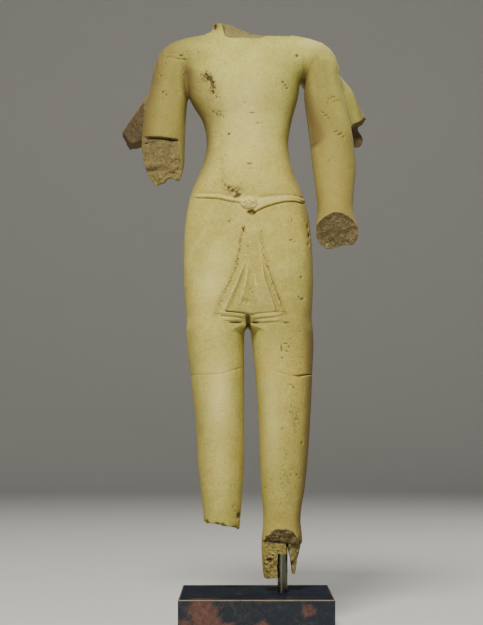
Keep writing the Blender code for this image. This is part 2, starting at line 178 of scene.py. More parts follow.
def smooth(stations, count=320):
    """A finely stepped table on a smooth curve through the stations, to be read by np.interp."""
    rows = np.array(stations, float)
    place, values = rows[:, 0], rows[:, 1:]
    slope = np.gradient(values, place, axis=0)
    at = np.linspace(place[0], place[-1], count)
    i = np.clip(np.searchsorted(place, at) - 1, 0, len(place) - 2)
    span = (place[i + 1] - place[i])[:, None]
    t = (at - place[i])[:, None] / span
    read = (
        values[i] * (1 + 2 * t) * (1 - t) ** 2
        + values[i + 1] * t * t * (3 - 2 * t)
        + span * slope[i] * t * (1 - t) ** 2
        + span * slope[i + 1] * t * t * (t - 1)
    )
    return at, read.T


def at(curve, place):
    """Every column of a smooth curve, read at these places."""
    return [np.interp(place, curve[0], column) for column in curve[1]]


def step(low, high, value):
    """A smooth step from 0 at low to 1 at high. Low may be the larger of the two."""
    t = np.clip((value - low) / (high - low), 0.0, 1.0)
    return t * t * (3 - 2 * t)


def hill(distance, width):
    """1 at no distance, and close to nothing at two widths."""
    return np.exp(-((distance / width) ** 2))


def spot(x, z, side, height, wide, tall):
    """A soft round patch on the front or back: 1 in its middle, and a hill's slope towards its rim."""
    return hill(np.hypot((x - side) / wide, (z - height) / tall), 1.0)


def join(a, b, blend):
    """The union of two fields, with a fillet of about this size in the corner between them."""
    near = np.maximum(blend - np.abs(a - b), 0.0) / blend
    return np.minimum(a, b) - near * near * blend * 0.25


def cut(a, b, blend):
    """Field a with the inside of field b taken away, and the edge between them slightly worn."""
    return -join(-a, b, blend)


# ------------------------------------------------------------------------------------------------- noise

LATTICE = np.random.default_rng(26).random((64, 64, 64), dtype=np.float32) * 2 - 1


def lump(x, y, z, size, shift=0.0):
    """Smooth noise from -1 to 1 whose lumps are about this size."""
    spots = [(v / size + shift + 17.3 * k) for k, v in enumerate((x, y, z))]
    cells = [np.floor(v).astype(np.int32) for v in spots]
    parts = [v - c for v, c in zip(spots, cells)]
    parts = [t * t * (3 - 2 * t) for t in parts]
    low = [c & 63 for c in cells]
    high = [(c + 1) & 63 for c in cells]
    total = 0.0
    for corner in range(8):
        picks = [(corner >> k) & 1 for k in range(3)]
        index = tuple(high[k] if picks[k] else low[k] for k in range(3))
        weight = 1.0
        for k in range(3):
            weight = weight * (parts[k] if picks[k] else 1 - parts[k])
        total = total + LATTICE[index] * weight
    return total


def rough(x, y, z, size, octaves, shift=0.0):
    """Lumps of this size with finer ones on them, each octave half as high as the one before."""
    total = 0.0
    for k in range(octaves):
        total = total + lump(x, y, z, size / 2.03**k, shift + 9.1 * k) * 0.5**k
    return total


# ------------------------------------------------------------------------------------------------- body

CURVES = {
    name: smooth(rows)
    for name, rows in {
        "trunk": TRUNK,
        "leg_right": LEG_RIGHT,
        "leg_left": LEG_LEFT,
        "arm_right": ARM_RIGHT,
        "arm_left": ARM_LEFT,
        "neck": NECK,
        "yoke": YOKE,
    }.items()
}


def from_wall(a, b, grown):
    """Roughly the distance from an outline, where a and b from its middle is grown times as far out as it."""
    reach = np.hypot(a, b)
    return reach - reach / np.maximum(grown, 1e-6)


def column(name, x, y, z, squareness=2.0):
    """An upright loft: roughly the distance from its wall, less than zero inside it."""
    curve = CURVES[name]
    side, behind, half, front, back = at(curve, z)
    across, ahead = x - side + 1e-7, y - behind
    deep = np.where(ahead < 0, front, back)
    if squareness == 2.0:
        grown = np.sqrt((across / half) ** 2 + (ahead / deep) ** 2)
    else:
        grown = np.abs(across / half) ** squareness + np.abs(ahead / deep) ** squareness
        grown = grown ** (1 / squareness)
    ends = np.maximum(curve[0][0] - z, z - curve[0][-1])
    return np.maximum(from_wall(across, ahead, grown), ends)


def shoulders(x, y, z):
    """The yoke: a loft that runs sideways from the neck over both shoulders."""
    out = np.abs(x - YOKE_SHIFT)
    top, under, front, back = at(CURVES["yoke"], out)
    rise = z - (top + under) / 2 + 1e-7
    deep = np.where(y < 0, front, back)
    grown = np.sqrt((y / deep) ** 2 + (rise / ((top - under) / 2)) ** 2)
    return np.maximum(from_wall(y, rise, grown), out - YOKE[-1][0])


# Where along a bar it swells, and how far the swelling reaches, as shares of its length.
SWELL_AT = 0.42
SWELL_REACH = 0.12


def bar(ends, x, y, z, swell=0.0):
    """A round bar that tapers from its start to its end, with round ends. It may swell on the way."""
    start, end, thick, thin = np.array(ends[0]), np.array(ends[1]), ends[2], ends[3]
    along = end - start
    away = [x - start[0], y - start[1], z - start[2]]
    t = sum(a * b for a, b in zip(away, along)) / along.dot(along)
    t = np.clip(t, 0.0, 1.0)
    gap = np.sqrt(sum((a - t * b) ** 2 for a, b in zip(away, along)))
    return gap - (thick + t * (thin - thick)) - swell * hill(t - SWELL_AT, SWELL_REACH)


# --------------------------------------------------------------------------------------------- fractures


def facing(point, way, x, y, z):
    """How far in front of the plane through a point, in the direction it faces."""
    way = np.array(way, float) / np.linalg.norm(way)
    return (x - point[0]) * way[0] + (y - point[1]) * way[1] + (z - point[2]) * way[2]


def torn(face, x, y, z):
    """How far in front of a plane that is roughened with noise."""
    point, way, size, depth, shift = face
    return facing(point, way, x, y, z) + depth * rough(x, y, z, size, 4, shift)


def along(path, place):
    """A line read at these places, and how far past either end of it they are."""
    spots, values = zip(*path)
    past = np.maximum(np.maximum(spots[0] - place, place - spots[-1]), 0.0)
    return np.interp(place, spots, values), past


# Faces of the breaks: a point on each, the way it faces, and the size, depth and shift of its roughness.
WRIST_FACE = ((0.178, -0.0765, 0.7942), (0, -0.79, -0.61), 0.012, 0.0019, 5.0)
REAR_RIGHT_FACES = (
    ((-0.251, 0.085, 1.008), (-0.85, -0.35, -0.38), 0.020, 0.0022, 7.0),
    ((-0.245, 0.090, 0.989), (0.10, -0.10, -0.98), 0.018, 0.0022, 8.0),
    ((-0.2490, 0.090, 0.9962), (-0.80, -0.12, -0.58), 0.014, 0.0016, 8.5),
    ((-0.232, 0.0655, 1.040), (-0.42, -0.88, -0.20), 0.022, 0.0024, 6.0),
)
REAR_LEFT_FACE = ((0.2450, 0.090, 1.0400), (0.60, -0.04, -0.80), 0.012, 0.0022, 9.0)
SHIN_FACE = ((-0.053, 0.008, 0.2145), (-0.15, -0.06, -0.98), 0.010, 0.0034, 11.0)
# Faces whose roughness is added where they are used: a point on each, and the way it faces.
ELBOW_MIDDLE = ((-0.175, -0.0185, 0.9636), (0.04, -0.955, -0.29))
ELBOW_OUTER = ((-0.180, -0.0178, 0.9636), (-0.42, -0.86, -0.29))
WRIST_CORNER = ((0.2125, -0.0765, 0.7750), (0.84, -0.10, -0.54))
SPUR_FACE = ((0.0800, -0.0110, 0.150), (0.50, -0.86, -0.06))

# The right elbow's break, seen from the front: the ledge over it as height at each distance beside the axis,
# its inner edge as distance at each height, its lower outline, and a crack in it.
ELBOW_LEDGE = ((-0.215, 0.9892), (-0.1400, 0.9822))
ELBOW_INNER = ((0.900, -0.1240), (0.9406, -0.1290), (0.9636, -0.1318), (0.974, -0.1350), (0.982, -0.1415))
ELBOW_FOOT = (
    (-0.2160, 0.9700), (-0.2123, 0.9560), (-0.2112, 0.9438), (-0.2087, 0.9339), (-0.2061, 0.9241),
    (-0.2013, 0.9104), (-0.1935, 0.8985), (-0.1877, 0.8917), (-0.1827, 0.8899), (-0.1759, 0.8927),
    (-0.1681, 0.8957), (-0.1660, 0.9006), (-0.1600, 0.9038), (-0.1550, 0.9046), (-0.1507, 0.9036),
    (-0.1449, 0.8996), (-0.1389, 0.9000), (-0.1351, 0.9066), (-0.1321, 0.9162), (-0.1290, 0.9290),
)
ELBOW_CRACK = ((-0.2060, 0.9753), (-0.1731, 0.9810))
# Heights of the groove across the elbow's break and of the ridge over it, at the break's middle.
ELBOW_GROOVE = 0.9235
ELBOW_RIDGE = 0.9340


def over_slant(x, z, height):
    """How far over a line across the elbow's break, which climbs a little towards the body."""
    return z - height - 0.06 * (x + 0.18)


def broken_elbow(x, y, z):
    """The right arm ends in a slab torn off its front, under an overhanging ledge."""
    ledge, _ = along(ELBOW_LEDGE, x)
    inner, _ = along(ELBOW_INNER, z)
    foot, _ = along(ELBOW_FOOT, x)
    grain = rough(x, y, z, 0.010, 4, 3.0)
    coarse = np.minimum(step(0.926, 0.912, z) + step(-0.178, -0.160, x) * step(0.975, 0.955, z), 1.0)
    front = np.maximum(facing(*ELBOW_MIDDLE, x, y, z), facing(*ELBOW_OUTER, x, y, z))
    front = front + (0.0006 + 0.0020 * coarse) * grain
    front = front + 0.0030 * hill(over_slant(x, z, ELBOW_GROOVE), 0.0036) * step(-0.148, -0.172, x)
    front = front - 0.0022 * hill(over_slant(x, z, ELBOW_RIDGE), 0.0060) * step(-0.150, -0.172, x)
    crack, past = along(ELBOW_CRACK, x)
    front = front + 0.0026 * hill(np.hypot(z - crack, past), 0.0012)
    shell = column("arm_right", x, y, z) + 0.0068 + 0.32 * np.maximum(0.978 - z, 0.0)
    groove = 0.0045 * hill(z - ledge + 0.0020, 0.0021)
    face = np.minimum(front, shell) + groove * (0.3 + 0.7 * step(-0.205, -0.160, x))
    below = ledge - z + 0.0004 * grain
    side = inner - x + 0.0008 * grain
    face = np.minimum(np.minimum(face, below), side)
    return np.maximum(face, foot - z + 0.0012 * grain + 0.12 * (y + 0.02))


def broken_wrist(x, y, z):
    """The left wrist ends in one rough face, chipped round its rim and sheared off at its outer corner."""
    face = torn(WRIST_FACE, x, y, z)
    away = np.hypot((x - 0.178) / 0.040, (z - 0.792) / 0.036)
    chips = 0.0035 * step(0.75, 1.15, away) * (1 + 0.9 * rough(x, y, z, 0.022, 2, 5.5))
    corner = facing(*WRIST_CORNER, x, y, z)
    level = 0.7665 - 0.34 * np.maximum(0.188 - x, 0.0) - z
    lowest = np.maximum(corner, level) + 0.0010 * rough(x, y, z, 0.008, 2, 5.8)
    return np.maximum(face - chips, lowest)


# Corners of the wrist where it is broken: direction from its middle, as side and depth, and how far out.
WRIST_CORNERS = ((-0.78, -0.62, 0.0040), (-0.72, 0.69, 0.0036), (0.65, 0.76, 0.0034), (0.62, -0.78, -0.0040))


def wrist_corners(x, y, z):
    """How much further than a round wrist the stone reaches here."""
    side, behind, half, deep, _ = at(CURVES["arm_left"], z)
    across, ahead = (x - side) / half, (y - behind) / deep
    reach = np.hypot(across, ahead) + 1e-6
    total = sum(out * hill(1 - (across * a + ahead * b) / reach, 0.16) for a, b, out in WRIST_CORNERS)
    return total * step(0.832, 0.802, z)


def broken_rear_right(x, y, z):
    """The right rear arm is broken short, with its outer side, its end and some of its front gone."""
    return np.max([torn(face, x, y, z) for face in REAR_RIGHT_FACES], axis=0)


def broken_rear_left(x, y, z):
    """The left rear arm is broken short, with a deeper bite low in the break."""
    return torn(REAR_LEFT_FACE, x, y, z) + 0.010 * hill(np.hypot(x - 0.2230, z - 1.0000), 0.016)


def broken_shin(x, y, z):
    """The right shin ends in a rough face that hangs a little lower at its inner side."""
    return torn(SHIN_FACE, x, y, z) - 0.0035 * hill(x + 0.0165, 0.007)


# The left foot: its break's upper rim, the walls of the rod's slot, and the outer edge of the spur beside it.
FOOT_RIM = (
    (0.0290, 0.1795), (0.0316, 0.1870), (0.0359, 0.1986), (0.0434, 0.2029), (0.0522, 0.2074),
    (0.0611, 0.2103), (0.0729, 0.2103), (0.0802, 0.2066), (0.0876, 0.2015), (0.0935, 0.1941),
    (0.0975, 0.1849), (0.1000, 0.1775),
)
SLOT_LEFT = 0.0583
SLOT_RIGHT = (
    (0.100, 0.0895), (0.119, 0.0882), (0.1386, 0.0853), (0.1504, 0.0837), (0.1593, 0.0810), (0.176, 0.0800),
)
SPUR_EDGE = (
    (0.100, 0.0925), (0.119, 0.0942), (0.1327, 0.0958), (0.1445, 0.0988), (0.1563, 0.1018), (0.174, 0.1045),
    (0.200, 0.1250), (0.230, 0.2500),
)
FOOT_LEDGE = 0.1792
# The size, octaves and shift of its roughness.
FOOT_GRAIN = (0.010, 4, 13.0)


def foot_ledge(x, grain):
    """The height of the ledge left across the break, which dips towards the outside."""
    return FOOT_LEDGE - 0.08 * (x - 0.065) + 0.0024 * grain


def broken_foot(x, y, z):
    """The left foot has lost its front and its toes. Two spurs are left, either side of the rod's slot."""
    grain = rough(x, y, z, *FOOT_GRAIN)
    rim, _ = along(FOOT_RIM, x)
    skin = -0.036 * np.sqrt(np.maximum(1 - ((x - 0.0655) / 0.0365) ** 2, 0.0))
    arch = 0.81 * (skin - y) + 0.585 * (rim - z) + 0.0026 * grain
    lump = 0.0035 * hill(np.hypot(x - 0.0664, (z - 0.166) / 1.2), 0.0080)
    spur = -0.0110 - y + 0.0014 * grain - lump
    spur = np.maximum(spur, facing(*SPUR_FACE, x, y, z) + 0.0026 * grain)
    ledge = foot_ledge(x, grain)
    face = np.maximum(np.minimum(arch, z - ledge + 0.002), np.minimum(spur, ledge - z))
    edge, _ = along(SPUR_EDGE, z)
    wall, _ = along(SLOT_RIGHT, z)
    top = np.where(x < 0.0750, 0.1540, 0.1760) + 0.0020 * grain
    slot = np.minimum(np.minimum(x - SLOT_LEFT, wall - x) + 0.0007 * grain, top - z)
    under = np.where(x > 0.079, 0.1165, 0.1075 + 0.05 * (x - 0.04)) - z + 0.0016 * grain
    outside = x - edge + 0.0010 * grain
    return np.maximum(np.maximum(face, outside), np.maximum(under, slot))


# Outline of the neck's stump, seen from the front: its height at each distance beside the axis.
NECK_OUTLINE = (
    (-0.0700, 1.2265), (-0.0607, 1.2280), (-0.0413, 1.2280), (-0.0300, 1.2236), (-0.0137, 1.2163),
    (0.0018, 1.2096), (0.0169, 1.2045), (0.0700, 1.2030),
)


def broken_neck(x, y, z):
    """The neck's stump slopes down to the front and to the figure's left."""
    outline, _ = along(NECK_OUTLINE, x)
    slope = 0.24 + 0.34 * step(-0.054, -0.045, x) * step(0.040, -0.012, x)
    top = outline + slope * np.minimum(y - 0.030, 0.0) - 0.25 * np.maximum(y - 0.030, 0.0)
    top = np.maximum(top, 1.184)
    grain = rough(x, y, z, 0.018, 4, 15.0)
    reach = np.minimum(0.120 + x, 0.085 - x)
    return np.minimum(z - top + 0.0014 * grain, reach) * 0.85


# ----------------------------------------------------------------------------------------------- carving

# The rolled edge of the garment, as its height at each angle round the trunk from the figure's left side.
BELT = (
    (-1.58, 0.8660), (-0.60, 0.8660), (-0.05, 0.8600), (0.26, 0.8575), (0.41, 0.8605), (0.66, 0.8610),
    (1.00, 0.8572), (1.30, 0.8535), (1.57, 0.8520), (1.77, 0.8530), (2.01, 0.8560), (2.32, 0.8628),
    (2.82, 0.8668), (3.30, 0.8670), (4.70, 0.8660),
)
# The fold under it: its lower edge, as height at each distance beside the axis.
FOLD = (
    (0.0090, 0.8255), (0.0140, 0.8305), (0.0200, 0.8345), (0.0340, 0.8413), (0.0530, 0.8477),
    (0.0730, 0.8530), (0.0930, 0.8548), (0.1110, 0.8530),
)
FOLD_RIGHT = ((-0.0820, 0.8610), (-0.0610, 0.8565), (-0.0430, 0.8530), (-0.0255, 0.8495))
# The fan of pleats in front, each line as its distance beside the axis at each height.
FAN_BORDERS = (
    (
        (0.630, -0.0640), (0.6627, -0.0520), (0.6958, -0.0330),
        (0.7253, -0.0225), (0.7548, -0.0165), (0.790, -0.013),
    ),
    ((0.630, 0.0730), (0.6568, 0.0630), (0.6861, 0.050), (0.7254, 0.0375), (0.7548, 0.030), (0.790, 0.026)),
)
FAN_RIDGES = (
    ((0.638, -0.0455), (0.6566, -0.0372), (0.6821, -0.0255), (0.7056, -0.0160), (0.7311, -0.0065)),
    ((0.650, -0.0165), (0.6722, -0.0095), (0.7056, -0.0025), (0.7300, 0.0010)),
    ((0.638, 0.052), (0.6469, 0.049), (0.6723, 0.0395), (0.6958, 0.032), (0.7253, 0.0275), (0.750, 0.024)),
    ((0.650, 0.0620), (0.6568, 0.0590), (0.6861, 0.0475), (0.7254, 0.0355), (0.750, 0.0300)),
    ((0.648, 0.0230), (0.6722, 0.0180), (0.7000, 0.0140)),
)
FAN_GROOVES = (
    ((0.640, -0.0340), (0.6566, -0.0270), (0.6821, -0.0175), (0.7056, -0.0090), (0.7200, -0.0040)),
    ((0.634, 0.0600), (0.6568, 0.0540), (0.6861, 0.0435), (0.7200, 0.0320)),
    ((0.652, 0.0020), (0.6800, 0.0030), (0.7100, 0.0060)),
)
# The stacked hems under the fan, each as height at each distance beside the axis.
HEM_ROLLS = (
    ((-0.0500, 0.6300), (-0.0300, 0.6287), (-0.0070, 0.6270)),
    ((-0.0500, 0.6215), (-0.0300, 0.6203), (-0.0140, 0.6190)),
    ((0.0080, 0.6240), (0.0200, 0.6258), (0.0470, 0.6275), (0.0640, 0.6290)),
    ((0.0130, 0.6165), (0.0300, 0.6180), (0.0640, 0.6208)),
)
HEM_GROOVES = (
    ((-0.0420, 0.6345), (-0.0250, 0.6330), (-0.0070, 0.6310)),
    ((-0.0510, 0.6258), (-0.0300, 0.6247), (-0.0130, 0.6230)),
    ((0.0080, 0.6275), (0.0170, 0.6305), (0.0470, 0.6325), (0.0680, 0.6330)),
    ((0.0160, 0.6195), (0.0450, 0.6226), (0.0650, 0.6255)),
    ((-0.0340, 0.6132), (-0.0140, 0.6136)),
    ((0.0060, 0.6132), (0.0400, 0.6128), (0.0820, 0.6124)),
)
SKIRT_RIGHT = ((-0.1200, 0.5110), (-0.0900, 0.5100), (-0.0520, 0.5120), (-0.0150, 0.5240))
SKIRT_LEFT = ((0.0150, 0.5260), (0.0460, 0.5200), (0.0820, 0.5085), (0.1000, 0.5080), (0.1280, 0.5130))


# Lobes of the knot: distance beside the axis, height, half width, half height, and how proud it stands.
KNOT_LOBES = (
    (0.0042, 0.8490, 0.0196, 0.0126, 0.0070),
    (0.0022, 0.8520, 0.0135, 0.0066, 0.0020),
    (-0.0078, 0.8460, 0.0070, 0.0060, 0.0014),
    (0.0128, 0.8440, 0.0065, 0.0080, 0.0018),
)


def across_line(path, u, v):
    """Distance from a line drawn on the front. u runs along it and v across."""
    middle, past = along(path, u)
    return np.hypot(v - middle, past), v - middle


# Heights of the ridges and hems, and depths of the grooves, in the order of their tables.
BORDER_DEPTHS = (0.0011, 0.0009)
RIDGE_HEIGHTS = (0.0033, 0.0022, 0.0037, 0.0026, 0.0012)
FAN_GROOVE_DEPTHS = (0.0023, 0.0026, 0.0014)
HEM_HEIGHTS = (0.0024, 0.0020, 0.0024, 0.0020)
HEM_GROOVE_DEPTHS = (0.0042, 0.0026, 0.0018, 0.0020, 0.0022, 0.0009)
HEM_HALF_WIDTH = 0.0047
HEM_GROOVE_WIDTH = 0.0016
# The middle of the slit under the fan, as distance beside the axis at each height.
CLEFT = ((0.600, 0.0010), (0.616, 0.0005), (0.634, -0.0015))


def front_relief(x, z):
    """How far the front stands proud of its loft. Negative where it is cut in."""
    total = np.zeros_like(x)

    # The fan: its ground thickens towards the hem, grooves edge it, and its ridges rise from it.
    near = (z > 0.60) & (z < 0.80) & (np.abs(x) < 0.10)
    if near.any():
        u, v = x[near], z[near]
        left, _ = along(FAN_BORDERS[0], v)
        right, _ = along(FAN_BORDERS[1], v)
        inside = step(-0.003, 0.004, u - left) * step(-0.003, 0.004, right - u)
        ground = 0.0020 * inside * step(0.740, 0.640, v) * step(0.6290, 0.6320, v)
        for path, depth in zip(FAN_BORDERS, BORDER_DEPTHS):
            gap, _ = across_line(path, v, u)
            ground -= depth * hill(gap, 0.0026) * step(0.800, 0.730, v) * step(0.630, 0.645, v)
        for path, height in zip(FAN_RIDGES, RIDGE_HEIGHTS):
            gap, _ = across_line(path, v, u)
            ground += height * hill(gap, 0.0030) * step(0.775, 0.700, v)
        for path, depth in zip(FAN_GROOVES, FAN_GROOVE_DEPTHS):
            gap, _ = across_line(path, v, u)
            ground -= depth * hill(gap, 0.0038) * step(0.745, 0.690, v)
        ground -= 0.0026 * hill(np.hypot((u + 0.004) / 2.0, v - 0.6545), 0.0046)
        for path, height in zip(HEM_ROLLS, HEM_HEIGHTS):
            gap, _ = across_line(path, u, v)
            first, last = path[0][0], path[-1][0]
            ends = step(first - 0.004, first + 0.010, u) * step(last + 0.004, last - 0.006, u)
            ground += height * np.maximum(1 - (gap / HEM_HALF_WIDTH) ** 4, 0.0) ** 0.75 * ends
        for path, depth in zip(HEM_GROOVES, HEM_GROOVE_DEPTHS):
            gap, _ = across_line(path, u, v)
            ground -= depth * hill(gap, HEM_GROOVE_WIDTH)
        ground -= 0.0030 * hill(np.hypot((u + 0.0230) / 3.2, v - 0.6140), 0.0028)
        ground -= 0.0025 * hill(np.hypot((u - 0.0750) / 2.8, v - 0.6122), 0.0022)
        cleft, _ = along(CLEFT, v)
        ground -= 0.008 * hill(u - cleft, 0.0040) * step(0.634, 0.622, v)
        total[near] += ground

    # The edge of the garment above each thigh, with a narrow groove under it.
    near = (z > 0.49) & (z < 0.55)
    if near.any():
        u, v = x[near], z[near]
        gap, _ = across_line(SKIRT_RIGHT, u, v)
        total[near] -= 0.0011 * hill(gap, 0.0016)
        gap, _ = across_line(SKIRT_LEFT, u, v)
        total[near] -= (0.0009 + 0.0034 * step(0.082, 0.108, u)) * step(0.042, 0.056, u) * hill(gap, 0.0018)
    return total


def trunk_angle(x, y):
    """The turn round the trunk from the figure's left side towards its front, from where BELT starts."""
    first = -BELT[0][0]
    return np.mod(np.arctan2(-y, x) + first, 2 * math.pi) - first


def knot_hole(x, y, z):
    """Distance from the middle of the ragged hole under the knot, which is wider than it is tall."""
    return np.hypot((x - 0.0080) / 1.75, z - 0.8305) + 0.0010 * rough(x, y, z, 0.006, 2, 43.0)


def belt_relief(x, y, z):
    """The rolled edge round the waist, the fold that hangs from it in front, and the knot."""
    total = np.zeros_like(x)
    near = (z > 0.80) & (z < 0.90) & (np.abs(x) < 0.125)
    if not near.any():
        return total
    x, y, z = x[near], y[near], z[near]
    turn = trunk_angle(x, y)
    line = np.interp(turn, *zip(*BELT))
    front = y < 0
    faint = np.where(front, step(-0.118, -0.092, x) * step(0.119, 0.106, x), 0.30)
    roll = 0.0034 * np.sqrt(np.maximum(1 - ((z - line) / 0.0042) ** 2, 0.0)) * faint
    # The fold, which hangs from the roll on the figure's left and makes one thick band with it.
    edge, past = along(FOLD, x)
    top = line + 0.0040
    across = (z - (top + edge) / 2) / np.maximum((top - edge) / 2, 0.001)
    ends = step(0.006, 0.016, x) * step(0.115, 0.103, x) * front
    band = (0.0030 + 0.0008 * step(0.09, 0.02, x)) * np.maximum(1 - across**4, 0.0) ** 0.5 * ends
    raised = np.maximum(roll, band)
    # The fainter fold on its right, and the knot.
    lower, beyond = along(FOLD_RIGHT, x)
    soft = 0.0014 * step(-0.0004, 0.0022, z - lower) * step(0.004, 0.0, z - line) * step(0.004, 0.0, beyond)
    raised = np.maximum(raised, soft * front)
    knot = 0.0
    for side, height, wide, tall, proud in KNOT_LOBES:
        reach = ((x - side) / wide) ** 2 + ((z - height) / tall) ** 2
        knot = knot + proud * np.sqrt(np.maximum(1 - reach, 0.0))
    knot = knot * (1 + 0.16 * rough(x, y, z, 0.0065, 2, 41.0))
    raised = np.maximum(raised, knot * front)
    # What is cut in: a groove over and under the roll, one under each fold, and the knot's holes.
    sunk = 0.0012 * hill(z - line - 0.0056, 0.0022) * faint * step(0.019, 0.024, np.abs(x - 0.004))
    sunk = sunk + 0.0012 * hill(z - line + 0.0058, 0.0018) * faint * step(1.9, 2.2, turn)
    sunk = sunk + 0.0026 * hill(np.hypot(z - edge + 0.0012, past), 0.0015) * front
    sunk = sunk + 0.0010 * hill(np.hypot(z - lower + 0.0006, beyond), 0.0018) * front
    seam = z - line + 0.0012 + 0.05 * (x - 0.085)
    sunk = sunk + 0.0014 * hill(seam, 0.0011) * step(0.070, 0.092, x) * front
    sunk = sunk + 0.0022 * hill(np.hypot(x + 0.0050, z - 0.8480), 0.0022) * front
    sunk = sunk + 0.0020 * hill(np.hypot(x - 0.0105, z - 0.8450), 0.0018) * front
    sunk = sunk + 0.0055 * (1 - step(0.0026, 0.0052, knot_hole(x, y, z))) * front
    total[near] = raised - sunk
    return total


